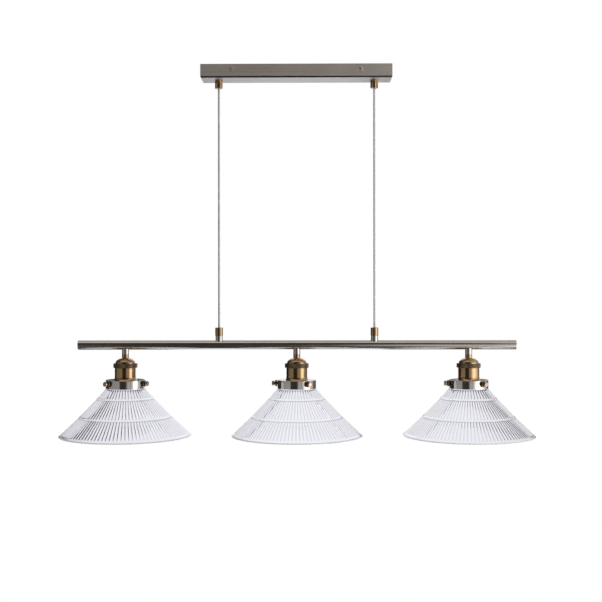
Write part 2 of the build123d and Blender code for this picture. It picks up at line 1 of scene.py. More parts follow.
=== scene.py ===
"""Bar pendant light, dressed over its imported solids.

Metres, in the part's own frame: +X along the bar, +Z up to the ceiling, the front faces -Y.
Outlines of turned pieces, as (radius, height), and the sizes named in capitals are in millimetres.
"""

import json
import math

import bmesh
import bpy
from bpy.props import FloatProperty, FloatVectorProperty, IntProperty, IntVectorProperty, PointerProperty
from bpy.types import Operator, Panel, PropertyGroup
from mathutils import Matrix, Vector


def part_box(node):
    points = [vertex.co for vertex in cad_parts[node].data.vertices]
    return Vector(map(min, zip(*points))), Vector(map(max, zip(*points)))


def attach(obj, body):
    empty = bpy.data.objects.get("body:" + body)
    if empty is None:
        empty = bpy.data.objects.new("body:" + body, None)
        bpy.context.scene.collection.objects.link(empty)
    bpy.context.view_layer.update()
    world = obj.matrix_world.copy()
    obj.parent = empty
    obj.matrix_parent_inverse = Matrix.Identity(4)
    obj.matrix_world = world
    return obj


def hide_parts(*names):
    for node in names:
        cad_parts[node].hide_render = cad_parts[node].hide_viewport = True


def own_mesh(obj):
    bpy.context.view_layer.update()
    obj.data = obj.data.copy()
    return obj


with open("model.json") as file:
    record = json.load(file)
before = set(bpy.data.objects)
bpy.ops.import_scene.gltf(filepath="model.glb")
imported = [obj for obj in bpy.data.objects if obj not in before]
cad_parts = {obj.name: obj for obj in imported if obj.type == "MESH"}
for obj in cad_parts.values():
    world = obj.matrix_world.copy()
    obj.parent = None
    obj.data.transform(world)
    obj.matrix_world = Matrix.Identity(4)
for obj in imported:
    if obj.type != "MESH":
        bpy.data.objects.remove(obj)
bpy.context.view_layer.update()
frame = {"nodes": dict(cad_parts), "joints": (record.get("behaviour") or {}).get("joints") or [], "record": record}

bl_info = {
    "name": "Bar pendant light",
    "version": (1, 0, 0),
    "blender": (4, 5, 0),
    "location": "3D View > Sidebar > Pendant",
    "description": "Models a bar pendant with fluted glass shades around its packed solids",
    "category": "Object",
}

MM = 0.001
MERGE = 1e-6  # vertices closer than this, in metres, are one
QUARTER = math.pi / 2
BODY_OF = {node: body for body, nodes in frame["record"]["behaviour"]["bodies"].items() for node in nodes}
SLOT_OF = {row["node"]: row["material_slot"] for row in frame["record"]["subparts"]}
JOINTS = {joint["name"]: joint for joint in frame["joints"]}


def linear(code):
    """Linear colour from an sRGB hex value."""
    parts = [int(code[place:place + 2], 16) / 255 for place in (0, 2, 4)]
    return [c / 12.92 if c <= 0.04045 else ((c + 0.055) / 1.055) ** 2.4 for c in parts] + [1.0]


def head(node):
    """Height of a solid's top, in millimetres."""
    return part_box(node)[1].z / MM


def foot(node):
    """Height of a solid's underside, in millimetres."""
    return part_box(node)[0].z / MM


def middle(node):
    """Centre of a solid, in metres."""
    low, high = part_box(node)
    return (low + high) / 2


def half(node, axis):
    """Half of a solid's size along one axis, in millimetres."""
    low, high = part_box(node)
    return (high[axis] - low[axis]) / 2 / MM


# Places along X, in metres.
LAMPS = {lamp: middle(f"stem_{lamp}").x for lamp in ("left", "centre", "right")}
GRIPS = {side: middle(f"bar_gland_sleeve_{side}").x for side in ("left", "right")}

BAR_AXIS = middle("bar_tube").z / MM
BAR_RADIUS = half("bar_tube", 1)
TUBE_END = half("bar_tube", 0)
BAR_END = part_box("bar_end_cap_right")[1].x / MM
SLIP = 0.05  # gap between the bar and what sits on it or in it
CANOPY_FLOOR = foot("canopy_shell")
CANOPY_SCREW_HEAD = 4.2
SCREW_HOLE = 2.1
FLEX_BORE = 2.3
SPIGOT = 5.0
SPIGOT_HOLE = 5.1
SLEEVE_FOOT = foot("bar_gland_sleeve_left")
STEM_RADIUS = half("stem_centre", 0)
CAP_HEAD = head("lampholder_cap_centre")
CAP_RADIUS = half("lampholder_cap_centre", 0)
HOLDER_WALL = 1.4
HOLDER_BORE = CAP_RADIUS - HOLDER_WALL
HOLDER_THREAD = 18.8
THREAD_HOLE = 18.9
RING_HEAD = head("lampholder_ring_centre")
RING_FOOT = foot("lampholder_ring_centre")
RING_MIDDLE = (RING_HEAD + RING_FOOT) / 2
RING_RADIUS = half("lampholder_ring_centre", 0)
KNURL_MARGIN = 0.05  # what lies this close to a ring's outer face is knurled
BODY_FOOT = foot("lampholder_body_centre")
SOCKET_HEAD = head("socket_shell_centre")
SOCKET_FOOT = foot("socket_shell_centre")
GALLERY_HEAD = head("gallery_centre")
GALLERY_FOOT = foot("gallery_centre")
GALLERY_RADIUS = half("gallery_centre", 0)
THUMB_SCREW_HEIGHT = middle("gallery_screw_centre_1").z / MM
SHADE_HEAD = head("glass_shade_centre")
SHADE_FOOT = foot("glass_shade_centre")


def length_setting(name, description, mm):
    """A setting for a length, given in millimetres."""
    return FloatProperty(name=name, description=description, default=mm * MM, unit="LENGTH")


def colour_setting(name, description, code):
    """A setting for a colour, given as an sRGB hex value."""
    return FloatVectorProperty(name=name, description=description, default=linear(code), size=4, subtype="COLOR")


class PendantSizes(PropertyGroup):
    """Sizes that a user would change."""

    canopy_wall: length_setting("Canopy sheet", "Thickness of the canopy's folded sheet", 1.0)
    canopy_edge: length_setting("Canopy edge", "Radius of the canopy's outer folds", 3.0)
    knurls: IntProperty(name="Knurls", description="Straight knurls round a lampholder's ring", default=90)
    knurl_depth: length_setting("Knurl depth", "Depth of the knurls on a ring", 0.35)
    flutes: IntVectorProperty(
        name="Flutes", description="Flutes round each zone of a shade, from the neck down",
        default=(51, 81, 106), size=3,
    )
    flute_depth: length_setting("Flute depth", "Height of a flute's ridge over its valley", 1.2)
    flute_end: length_setting("Flute end", "Length over which a flute runs out at a band", 1.0)
    band_rise: length_setting("Band rise", "How far a smooth band stands out of the glass", 0.4)
    core_lay: length_setting("Core lay", "Length of one turn of the twisted cores in a flex", 15.0)
    thread_pitch: length_setting("Thread pitch", "Pitch of the rolled socket thread", 3.62)


class PendantFinishes(PropertyGroup):
    """Colours that a user would change."""

    brushed_nickel: colour_setting("Brushed nickel", "Sheet of the canopy", "ebe4dc")
    polished_nickel: colour_setting("Polished nickel", "Bar, stems and galleries", "d2cbc4")
    antique_brass: colour_setting("Antique brass", "Lampholders and grips", "b49164")
    aged_copper: colour_setting("Aged copper", "Knobs of the thumb screws", "b39680")
    dark_bronze: colour_setting("Dark bronze", "Knurled rings of the lampholders", "6f604c")
    clear_glass: colour_setting("Pressed glass", "Glass of the shades", "fcfcff")
    # Painted shade: the glass's grey tint in the flutes' valleys and under the bands.
    painted_flute_shade: colour_setting("Flute valleys", "Glass in the valleys of the flutes", "bcbccc")
    clear_sheath: colour_setting("Clear sheath", "Sheath of the flexes", "ececec")
    tinned_copper: colour_setting("Tinned copper", "Cores of the flexes", "d6d6d4")


class PendantStage(PropertyGroup):
    """Camera and floor."""

    lens: FloatProperty(name="Lens", description="Focal length on a 36 mm frame", default=60.5, unit="CAMERA")
    distance: length_setting("Distance", "Camera to the plane of the flexes", 1928)
    azimuth: FloatProperty(
        name="Azimuth", description="Camera's place round the light, from the front",
        default=math.radians(0.5), subtype="ANGLE",
    )
    roll: FloatProperty(
        name="Roll", description="Camera's lean to the right", default=math.radians(0.06), subtype="ANGLE"
    )
    aside: length_setting("Aside", "How far the view's middle lies right of the light", 8.2)
    height: length_setting("Height", "Camera's height in the part's frame", -446.6)
    floor: length_setting("Floor", "Height of the floor", -2000)


def begin():
    """Go to object mode with nothing selected."""
    if bpy.context.mode != "OBJECT":
        bpy.ops.object.mode_set(mode="OBJECT")
    bpy.ops.object.select_all(action="DESELECT")


def take(piece):
    """Select one piece alone and make it active."""
    begin()
    piece.select_set(True)
    bpy.context.view_layer.objects.active = piece


def named(name):
    """Name the active object and its mesh."""
    piece = bpy.context.object
    piece.name = name
    piece.data.name = name
    return piece


def choose(piece, test):
    """In edit mode, select the vertices whose place passes a test, and nothing else."""
    bpy.ops.mesh.select_all(action="DESELECT")
    mesh = bmesh.from_edit_mesh(piece.data)
    for vertex in mesh.verts:
        vertex.select = test(vertex.co)
    mesh.select_flush_mode()
    bmesh.update_edit_mesh(piece.data)


def choose_edges(piece, test):
    """In edit mode, select the edges whose two end heights pass a test, and nothing else."""
    bpy.ops.mesh.select_all(action="DESELECT")
    mesh = bmesh.from_edit_mesh(piece.data)
    for edge in mesh.edges:
        edge.select = test(edge.verts[0].co.z, edge.verts[1].co.z)
    bmesh.update_edit_mesh(piece.data)


def tidy_mesh():
    """In edit mode, close the seams of the whole mesh and point its faces outwards."""
    bpy.ops.mesh.select_all(action="SELECT")
    bpy.ops.mesh.remove_doubles(threshold=MERGE)
    bpy.ops.mesh.normals_make_consistent(inside=False)


def drawn(name, line):
    """Draw a line through points by extruding one vertex, and stay in edit mode."""
    begin()
    bpy.ops.mesh.primitive_plane_add(size=MM)
    piece = named(name)
    bpy.ops.object.mode_set(mode="EDIT")
    bpy.ops.mesh.select_mode(type="VERT")
    bpy.ops.mesh.select_all(action="SELECT")
    bpy.ops.mesh.merge(type="CENTER")
    bpy.ops.transform.translate(value=line[0])
    for start, end in zip(line, line[1:]):
        bpy.ops.mesh.extrude_vertices_move(TRANSFORM_OT_translate={"value": end - start})
    return piece


def turned(name, outline, rounds=None, steps=96, closed=True):
    """Draw an outline, round its numbered corners and spin it about Z, as on a lathe."""
    line = [Vector((radius, 0, height)) * MM for radius, height in outline]
    piece = drawn(name, line + line[:1] if closed else line)
    bpy.ops.mesh.select_all(action="SELECT")
    bpy.ops.mesh.remove_doubles(threshold=MERGE)
    for corner, radius in (rounds or {}).items():
        choose(piece, lambda place: (place - line[corner]).length < MERGE)
        bpy.ops.mesh.bevel(offset=radius * MM, segments=4, affect="VERTICES")
    bpy.ops.mesh.select_all(action="SELECT")
    bpy.ops.mesh.spin(steps=steps, angle=math.tau, center=(0, 0, 0), axis=(0, 0, 1))
    tidy_mesh()
    bpy.ops.object.mode_set(mode="OBJECT")
    return piece


def modify(piece, kind, **settings):
    """Apply a modifier with its settings to a piece."""
    take(piece)
    tool = piece.modifiers.new(kind.lower(), kind)
    for key, value in settings.items():
        setattr(tool, key, value)
    bpy.ops.object.modifier_apply(modifier=tool.name)


def rod(radius, length, spot, turn=(0, 0, 0)):
    """A cutter for a round hole, in millimetres, about Z unless it is turned."""
    begin()
    bpy.ops.mesh.primitive_cylinder_add(
        vertices=64, radius=radius * MM, depth=length * MM, location=Vector(spot) * MM, rotation=turn
    )
    return named("cutter")


def discard(piece):
    """Remove a piece that was only a model or a tool."""
    take(piece)
    bpy.ops.object.delete()


def cut(piece, cutter):
    """Take a cutter's shape out of a piece, with the cutter's finish on the cut, and remove the cutter."""
    modify(piece, "BOOLEAN", operation="DIFFERENCE", solver="EXACT", material_mode="TRANSFER", object=cutter)
    discard(cutter)


def cut_saddle(piece):
    """Hollow the end of a piece to sit on the bar."""
    cut(piece, rod(BAR_RADIUS + SLIP, 40, (0, 0, BAR_AXIS), (0, QUARTER, 0)))


def smooth(piece, angle=33.0):
    """Shade a piece smooth up to an edge angle in degrees, with its broad faces kept true."""
    take(piece)
    bpy.ops.object.shade_smooth_by_angle(angle=math.radians(angle))
    modify(piece, "WEIGHTED_NORMAL", keep_sharp=True)
    return piece


def knurl(piece, count, radius, depth):
    """Press straight knurls, in millimetres, into the outer face of a ring that has four steps for each of them."""

    def pressed(spot):
        step = round(math.atan2(spot.y, spot.x) / math.tau * 4 * count)
        return spot.xy.length > (radius - KNURL_MARGIN) * MM and step % 4 < 2

    take(piece)
    bpy.ops.object.mode_set(mode="EDIT")
    choose(piece, pressed)
    size = 1 - depth / radius
    bpy.ops.transform.resize(value=(size, size, 1), center_override=(0, 0, 0))
    bpy.ops.object.mode_set(mode="OBJECT")
    return smooth(piece, 25)


def place(piece, turn=(0, 0, 0), to=(0, 0, 0)):
    """Turn and move a piece, with its place kept in its mesh."""
    take(piece)
    piece.rotation_euler = turn
    piece.location = to
    bpy.ops.object.transform_apply(location=True, rotation=True, scale=True)
    return piece


def copied(piece, name):
    """A copy of a piece with a mesh of its own."""
    take(piece)
    bpy.ops.object.duplicate(linked=False)
    return named(name)


def joined(pieces, name):
    """Several pieces as one."""
    begin()
    for piece in pieces:
        piece.select_set(True)
    bpy.context.view_layer.objects.active = pieces[0]
    bpy.ops.object.join()
    return named(name)


def spread(model, word, spots):
    """Copy a piece that was modelled on the Z axis to several places along X."""
    made = {key: place(copied(model, f"{word}_{key}"), to=(x, 0, 0)) for key, x in spots.items()}
    discard(model)
    return made


def clad(piece, *finishes):
    """Give a piece its finishes, the first of them on every face."""
    piece.data.materials.clear()
    for finish in finishes:
        piece.data.materials.append(finish_named(finish))


def fit(piece, node, finish=None):
    """Clad a piece, unless it has its finishes, and let it stand for its solid and ride on that solid's body."""
    if finish:
        clad(piece, finish)
    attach(piece, BODY_OF[node])
    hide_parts(node)


def fit_copies(model, word, spots, node, finish=None):
    """Copy a piece to several places, where each copy stands for the solid of that place."""
    for key, piece in spread(model, word, spots).items():
        fit(piece, f"{node}_{key}", finish)


def thumb_screw_ways(lamp):
    """Number, outward direction and turn of each thumb screw round a lamp."""
    for number in (1, 2, 3):
        out = Vector(JOINTS[f"unscrew_{lamp}_{number}"]["axis"])
        yield number, out, (QUARTER, 0, math.atan2(out.x, -out.y))


def add(tree, kind, inputs=None, stops=None, **settings):
    """Add a node with its settings, and set or link its inputs: a node given as an input links its first output."""
    made = tree.nodes.new("ShaderNode" + kind)
    for key, value in settings.items():
        setattr(made, key, value)
    for key, value in (inputs or {}).items():
        if isinstance(value, bpy.types.Node):
            value = value.outputs[0]
        if isinstance(value, bpy.types.NodeSocket):
            tree.links.new(value, made.inputs[key])
        else:
            made.inputs[key].default_value = value
    if stops:
        ramp = made.color_ramp
        while len(ramp.elements) < len(stops):
            ramp.elements.new(1.0)
        for element, (position, colour) in zip(ramp.elements, stops):
            element.position = position
            element.color = colour
    return made


def new_material(name):
    """An empty node material."""
    material = bpy.data.materials.new(name)
    material.use_nodes = True
    material.node_tree.nodes.clear()
    return material, material.node_tree


def scaled(colour, share):
    """A colour made darker or lighter."""
    return [min(1.0, part * share) for part in colour[:3]] + [1.0]


def grey(tone):
    """A grey of a linear tone."""
    return (tone, tone, tone, 1)


def metal(name, colour, grain, patch, depth, roughness, contrast=0.12, smear=0.0, smear_turn=0.0, coat=0.0):
    """A metal with tool lines under soft patches of tone.

    The lines have a size in millimetres along X, Y and Z, and a depth, and the patches have one size.
    Where it is brushed, its reflections smear round the X axis, or along it after a quarter turn.
    """
    material, tree = new_material(name)
    spot = add(tree, "TexCoord").outputs["Object"]
    stretch = add(tree, "Mapping", {"Vector": spot, "Scale": [1 / (size * MM) for size in grain]})
    lines = add(tree, "TexNoise", {"Vector": stretch, "Scale": 1.0, "Detail": 3.0, "Roughness": 0.6})
    patches = add(tree, "TexNoise", {"Vector": spot, "Scale": 1 / (patch * MM), "Detail": 4.0, "Roughness": 0.55})
    tone = add(tree, "Mix", {0: 0.5, 2: lines, 3: patches}, data_type="FLOAT")
    tint = add(tree, "ValToRGB", {"Fac": tone}, stops=[
        (0.3, scaled(colour, 1 - 2 * contrast)), (0.7, scaled(colour, 1 + contrast)),
    ])
    gloss = add(tree, "MapRange", {
        "Value": tone, "From Min": 0.3, "From Max": 0.7, "To Min": roughness[0], "To Max": roughness[1],
    })
    relief = add(tree, "Bump", {"Height": lines, "Strength": 0.35, "Distance": depth * MM})
    shader = add(tree, "BsdfPrincipled", {
        "Base Color": tint, "Metallic": 1.0, "Roughness": gloss, "Normal": relief,
        "Anisotropic": smear, "Anisotropic Rotation": smear_turn, "Coat Weight": coat, "Coat Roughness": 0.03,
        "Tangent": add(tree, "Tangent", direction_type="RADIAL", axis="X"),
    })
    add(tree, "OutputMaterial", {"Surface": shader})
    return material


def plain_stuff(name, colour, grain, roughness, ior, coat=0.0):
    """A moulded or glazed stuff with a fine mottle of a given size in millimetres."""
    material, tree = new_material(name)
    spot = add(tree, "TexCoord").outputs["Object"]
    mottle = add(tree, "TexNoise", {"Vector": spot, "Scale": 1 / (grain * MM), "Detail": 3.0})
    tint = add(tree, "ValToRGB", {"Fac": mottle}, stops=[(0.3, scaled(colour, 0.9)), (0.7, scaled(colour, 1.04))])
    relief = add(tree, "Bump", {"Height": mottle, "Strength": 0.15, "Distance": 0.05 * MM})
    shader = add(tree, "BsdfPrincipled", {
        "Base Color": tint, "Roughness": roughness, "IOR": ior, "Coat Weight": coat, "Normal": relief,
    })
    add(tree, "OutputMaterial", {"Surface": shader})
    return material


def pressed_glass(name, clear, painted_shade):
    """Soda glass from a mould: clear and a little wavy, with painted shade that greys it in the valleys between the
    flutes and under the bands.
    """
    material, tree = new_material(name)
    spot = add(tree, "TexCoord").outputs["Object"]
    # Painted shade written on the mesh: greyer glass in the flutes' valleys and in painted shadows under the bands.
    depth = add(tree, "Attribute", attribute_name="painted_shade").outputs["Fac"]
    tint = add(tree, "ValToRGB", {"Fac": depth}, stops=[(0.0, clear), (0.45, scaled(clear, 0.93)), (1.0, painted_shade)])
    waves = add(tree, "TexNoise", {"Vector": spot, "Scale": 1 / (9 * MM), "Detail": 2.0})
    relief = add(tree, "Bump", {"Height": waves, "Strength": 0.12, "Distance": 0.3 * MM})
    shader = add(tree, "BsdfPrincipled", {
        "Base Color": tint, "Roughness": 0.03, "IOR": 1.5, "Transmission Weight": 1.0, "Normal": relief,
    })
    # A ray bends at the near wall and then goes on straight: the flutes stay crisp and the flanks even.
    straight = add(tree, "BsdfTransparent", {"Color": (1, 1, 1, 1)})
    rays = add(tree, "LightPath")
    beyond = add(tree, "Math", {0: rays.outputs["Ray Depth"], 1: 1.5}, operation="GREATER_THAN")
    both = add(tree, "MixShader", {0: beyond, 1: shader, 2: straight})
    add(tree, "OutputMaterial", {"Surface": both})
    return material


def clear_pvc(name, colour):
    """Plasticised PVC, extruded clear over the cores, with a faint haze along its length."""
    material, tree = new_material(name)
    spot = add(tree, "TexCoord").outputs["Object"]
    stretch = add(tree, "Mapping", {"Vector": spot, "Scale": [1 / (size * MM) for size in (1.5, 1.5, 40)]})
    haze = add(tree, "TexNoise", {"Vector": stretch, "Scale": 1.0, "Detail": 2.0})
    gloss = add(tree, "MapRange", {"Value": haze, "To Min": 0.08, "To Max": 0.25})
    shader = add(tree, "BsdfPrincipled", {
        "Base Color": colour, "Roughness": gloss, "IOR": 1.53, "Transmission Weight": 0.2,
    })
    add(tree, "OutputMaterial", {"Surface": shader})
    return material


def finish_named(name):
    """One of the light's finishes, made when it is first asked for."""
    if name in bpy.data.materials:
        return bpy.data.materials[name]
    own = bpy.context.scene.pendant_finishes
    metals = {
        # Nickel-plated sheet, brushed along its length: fine streaks, drawn coarser than grit so that they show.
        "brushed_nickel_plate": dict(
            colour=own.brushed_nickel, grain=(160, 1.1, 1.1), patch=60, depth=0.02, roughness=(0.5, 0.6), smear=0.88,
        ),
        # Nickel darkened to a fifth of the sheet's tone: a painted dark reflection along the sheet's bottom folds and
        # painted shade in the screws' slots, as thin dark lines.
        "painted_shade_nickel": dict(
            colour=scaled(own.brushed_nickel, 0.2), grain=(9, 9, 9), patch=30, depth=0.002, roughness=(0.15, 0.22),
            contrast=0.05,
        ),
        # Nickel plate, buffed: a clean mirror with a faint haze where it was wiped.
        "buffed_nickel_plate": dict(
            colour=own.polished_nickel, grain=(9, 9, 9), patch=30, depth=0.002, roughness=(0.11, 0.17), contrast=0.05,
        ),
        # Turned brass, aged and waxed: soft rings from the lathe and brown patches.
        "waxed_brass": dict(
            colour=own.antique_brass, grain=(14, 14, 0.8), patch=11, depth=0.01, roughness=(0.14, 0.22), coat=1.0,
        ),
        # Nickel on a tube that was polished round its girth: reflections run out along the bar.
        "satin_nickel_tube": dict(
            colour=own.polished_nickel, grain=(1.5, 12, 12), patch=40, depth=0.002, roughness=(0.12, 0.17),
            contrast=0.05, smear=0.9, smear_turn=0.25,
        ),
        # Coppered brass, rubbed: small warm knobs with bright faces.
        "aged_copper": dict(
            colour=own.aged_copper, grain=(6, 6, 6), patch=5, depth=0.004, roughness=(0.12, 0.2), contrast=0.2,
            coat=1.0,
        ),
        # Brass darkened with acid: dull in the knurls.
        "darkened_bronze": dict(
            colour=own.dark_bronze, grain=(3, 3, 3), patch=7, depth=0.02, roughness=(0.32, 0.45),
        ),
        # Drawn brass, clean inside the sockets and terminals.
        "drawn_brass": dict(
            colour=linear("c9a869"), grain=(2, 2, 2), patch=8, depth=0.005, roughness=(0.22, 0.32),
        ),
        # Zinc-plated steel: grey with a slight mottle.
        "zinc_plate": dict(
            colour=linear("b3b4b2"), grain=(2, 2, 2), patch=10, depth=0.01, roughness=(0.32, 0.45),
        ),
    }
    stuffs = {
        # Tinned strands in their own clear skins: pale and dull.
        "tinned_copper": dict(colour=own.tinned_copper, grain=3, roughness=0.4, ior=1.5),
        # Glazed electrical porcelain: white with a wet gloss.
        "glazed_porcelain": dict(colour=linear("e9e6df"), grain=6, roughness=0.16, ior=1.5, coat=0.4),
        # Moulded nylon: creamy and slightly matt.
        "moulded_nylon": dict(colour=linear("dfddd2"), grain=1.5, roughness=0.5, ior=1.53),
        # Flex with its cores behind a clear sheath, out of sight: grey and glossy.
        "flex_pvc": dict(colour=linear("a9a9a8"), grain=3, roughness=0.28, ior=1.53, coat=0.3),
        # Glass ground flat on a wheel: white and matt.
        "ground_glass": dict(colour=linear("eeeef2"), grain=1.5, roughness=0.6, ior=1.5),
    }
    if name in metals:
        return metal(name, **metals[name])
    if name in stuffs:
        return plain_stuff(name, **stuffs[name])
    if name == "pressed_soda_glass":
        return pressed_glass(name, own.clear_glass, own.painted_flute_shade)
    if name == "clear_pvc":
        return clear_pvc(name, own.clear_sheath)
    raise ValueError(f"no finish is named {name}")


class PENDANT_OT_stage(Operator):
    """Set the camera, the studio light and the pale floor"""

    bl_idname = "pendant.stage"
    bl_label = "Stage"

    # Tones round the studio, for surfaces and behind the glass, at angles from the front towards the right.
    ROUND_STUDIO = [
        (-90, 0.05), (60, 0.03), (100, 0.5), (135, 0.5), (150, 0.7), (160, 0.97), (198, 0.97), (205, 0.12),
        (235, 0.05), (270, 0.05),
    ]
    BEHIND_GLASS = [
        (-90, 0.78), (-60, 0.74), (60, 0.74), (90, 0.78), (140, 0.79), (166, 0.82), (176, 0.93), (184, 0.93),
        (194, 0.79), (215, 0.78), (270, 0.76),
    ]
    GLASS_BLUE = 1.05
    # Soft edges of the studio's top and bottom: where each starts and ends, and how far it leans towards the back.
    TOP_EDGE = (0.7, 0.86, -0.12)
    BOTTOM_EDGE = (-0.85, -1.05, 0.85)
    TOP_TONE = (0.49, 0.475, 0.46, 1)
    BOTTOM_TONE = (1.05, 1.12, 1.27, 1)
    # Brightness along each panel, and from its foot to its head.
    SOFTBOX = [
        (0.0, 0.04), (0.07, 0.1), (0.137, 0.36), (0.2, 0.5), (0.264, 0.53), (0.33, 0.47), (0.4, 0.36),
        (0.515, 1.1), (0.6, 2.9), (0.66, 2.9), (0.73, 2.2), (0.8, 1.5), (0.87, 1.0), (1.0, 0.55),
    ]
    CARD = [(0.0, 0.3), (0.5, 0.38), (1.0, 0.38)]
    STRIP = [(0.0, 1.6), (1.0, 1.6)]
    LEVELS = [(0.0, 0.45), (0.2, 1.0), (0.3, 1.5), (0.42, 1.4), (0.5, 1.0), (0.6, 0.75), (0.75, 0.5), (1.0, 0.05)]
    # Each panel's start and end on the plan, the heights of its foot and head, and its brightness along and up it.
    PANELS = {
        "softbox": ((0.11, -1.95), (1.25, 0.45), (-1.7, 0.3), SOFTBOX, LEVELS),
        "side_card": ((-1.1, 0.14), (-0.82, -1.11), (-1.7, 0.3), CARD, LEVELS),
        "upper_strip": ((0.65, -0.735), (0.787, -0.447), (0.08, 0.24), STRIP, STRIP),
    }
    PANEL_UNSEEN = ("camera", "transmission")
    OVERHEAD_TONE = (1.0, 0.94, 0.88, 1)
    OVERHEAD_STRENGTH = 0.75
    # Upright flags behind the shades, seen through glass alone, that draw lines in the flutes.
    FLAG_TURN = (0, QUARTER, 0)
    FLAG_UNSEEN = ("camera", "diffuse", "glossy", "shadow")
    # Leaning cards under the bar's ends, seen in the metal alone.
    CARD_TURN = (math.radians(40), 0, 0)
    CARD_UNSEEN = ("camera", "diffuse", "transmission", "shadow")
    # Place, size and tone of each flag and card.
    FLAGS = {
        "left_flag": ((-0.75, 0.68, -0.8), (0.6, 0.42), 0.01),
        "low_left_flag": ((-0.75, 1.0, -0.86), (0.17, 0.22), 0.01),
        "right_flag": ((0.74, 0.7, -0.72), (0.5, 0.4), 0.12),
    }
    CARDS = {
        "left_card": ((-0.85, 0.1, -1.0), (1.1, 1.56), 0.02),
        "right_card": ((0.76, 0.1, -1.0), (1.12, 1.56), 0.16),
    }
    FLOOR_RADIUS = 3.0
    FLOOR_INSET = 1.4
    # Distances over which the floor turns white to the camera, from the share of white that it has all over.
    FLOOR_FADE = {"From Min": 1.0, "From Max": 2.8, "To Min": 0.45}
    SENSOR = 36.0

    def execute(self, context):
        scene = context.scene
        stage = scene.pendant_stage
        scene.view_settings.view_transform = "Standard"
        self.camera(scene, stage)
        self.studio(scene)
        self.floor(stage)
        for name, settings in self.PANELS.items():
            self.panel(name, *settings)
        # A warm panel just above the picture, in front of the canopy.
        overhead = self.sheet("overhead", (0, -0.33, 0.13), (0, 0, 0), (2.0, 0.36), self.PANEL_UNSEEN)
        self.glow(overhead, self.OVERHEAD_TONE, self.OVERHEAD_STRENGTH)
        for name, (spot, size, tone) in self.FLAGS.items():
            self.glow(self.sheet(name, spot, self.FLAG_TURN, size, self.FLAG_UNSEEN), grey(tone), 1.0)
        for name, (spot, size, tone) in self.CARDS.items():
            self.glow(self.sheet(name, spot, self.CARD_TURN, size, self.CARD_UNSEEN), grey(tone), 1.0)
        return {"FINISHED"}

    def camera(self, scene, stage):
        """A level camera in front of the light, a little to one side."""
        begin()
        ahead = Vector((-math.sin(stage.azimuth), math.cos(stage.azimuth), 0))
        beside = Vector((math.cos(stage.azimuth), math.sin(stage.azimuth), 0))
        spot = beside * stage.aside - ahead * stage.distance + Vector((0, 0, stage.height))
        bpy.ops.object.camera_add(location=spot, rotation=(QUARTER, stage.roll, stage.azimuth))
        camera = named("camera")
        camera.data.lens = stage.lens
        camera.data.sensor_width = self.SENSOR
        scene.camera = camera

    def studio(self, scene):
        """The tones of the room on all sides, with others for rays that have been through glass."""
        scene.world = bpy.data.worlds.new("studio")
        scene.world.use_nodes = True
        tree = scene.world.node_tree
        tree.nodes.clear()
        way = add(tree, "TexCoord").outputs["Generated"]
        parts = add(tree, "SeparateXYZ", {"Vector": way})
        around = add(tree, "TexGradient", {"Vector": way}, gradient_type="RADIAL").outputs[1]
        rays = add(tree, "LightPath")
        glazed = add(tree, "Math", {0: rays.outputs["Transmission Depth"], 1: 0.5}, operation="GREATER_THAN")
        seen = self.belt(tree, around, self.ROUND_STUDIO)
        for share, tone in (
            (self.past_edge(tree, parts, *self.TOP_EDGE), self.TOP_TONE),
            (self.past_edge(tree, parts, *self.BOTTOM_EDGE), self.BOTTOM_TONE),
            (glazed, self.belt(tree, around, self.BEHIND_GLASS, self.GLASS_BLUE)),
            (rays.outputs["Is Camera Ray"], (1, 1, 1, 1)),
        ):
            seen = add(tree, "Mix", {0: share, 6: seen, 7: tone}, data_type="RGBA").outputs[2]
        light = add(tree, "Background", {"Color": seen})
        add(tree, "OutputWorld", {"Surface": light})

    def belt(self, tree, around, tones, blue=1.0):
        """Tones round the studio at their angles from the front towards the right, with more or less blue."""
        stops = [((angle + 90) / 360, (tone, tone, tone * blue, 1)) for angle, tone in tones]
        return add(tree, "ValToRGB", {"Fac": around}, stops=stops)

    def past_edge(self, tree, parts, start, end, lean):
        """How far a direction lies past a soft edge that rises or falls from the front of the studio to the back."""
        heights = [
            add(tree, "Math", {0: parts.outputs["Y"], 1: lean, 2: level}, operation="MULTIPLY_ADD")
            for level in (start, end)
        ]
        return add(tree, "MapRange", {"Value": parts.outputs["Z"], "From Min": heights[0], "From Max": heights[1]})

    def floor(self, stage):
        """A round floor that fades into the white round the picture."""
        begin()
        bpy.ops.mesh.primitive_circle_add(
            vertices=96, radius=self.FLOOR_RADIUS, location=(0, 0, stage.floor), fill_type="NGON"
        )
        floor = named("floor")
        bpy.ops.object.mode_set(mode="EDIT")
        bpy.ops.mesh.select_all(action="SELECT")
        bpy.ops.mesh.inset(thickness=self.FLOOR_INSET)
        bpy.ops.object.mode_set(mode="OBJECT")
        place(floor, to=floor.location)
        # Matt white paint, which takes the light's shadow.
        material, tree = new_material("pale_floor")
        spot = add(tree, "TexCoord").outputs["Object"]
        flat = add(tree, "VectorMath", {0: spot, 1: (1, 1, 0)}, operation="MULTIPLY")
        away = add(tree, "VectorMath", {0: flat}, operation="LENGTH").outputs["Value"]
        edge = add(tree, "MapRange", {"Value": away, **self.FLOOR_FADE})
        rays = add(tree, "LightPath")
        fade = add(tree, "Math", {0: edge, 1: rays.outputs["Is Camera Ray"]}, operation="MULTIPLY")
        matt = add(tree, "BsdfDiffuse", {"Color": linear("f4f4f4")})
        white = add(tree, "Emission", {"Color": (1, 1, 1, 1)})
        both = add(tree, "MixShader", {0: fade, 1: matt, 2: white})
        add(tree, "OutputMaterial", {"Surface": both})
        floor.data.materials.append(material)
        floor.visible_glossy = False
        floor.visible_transmission = False

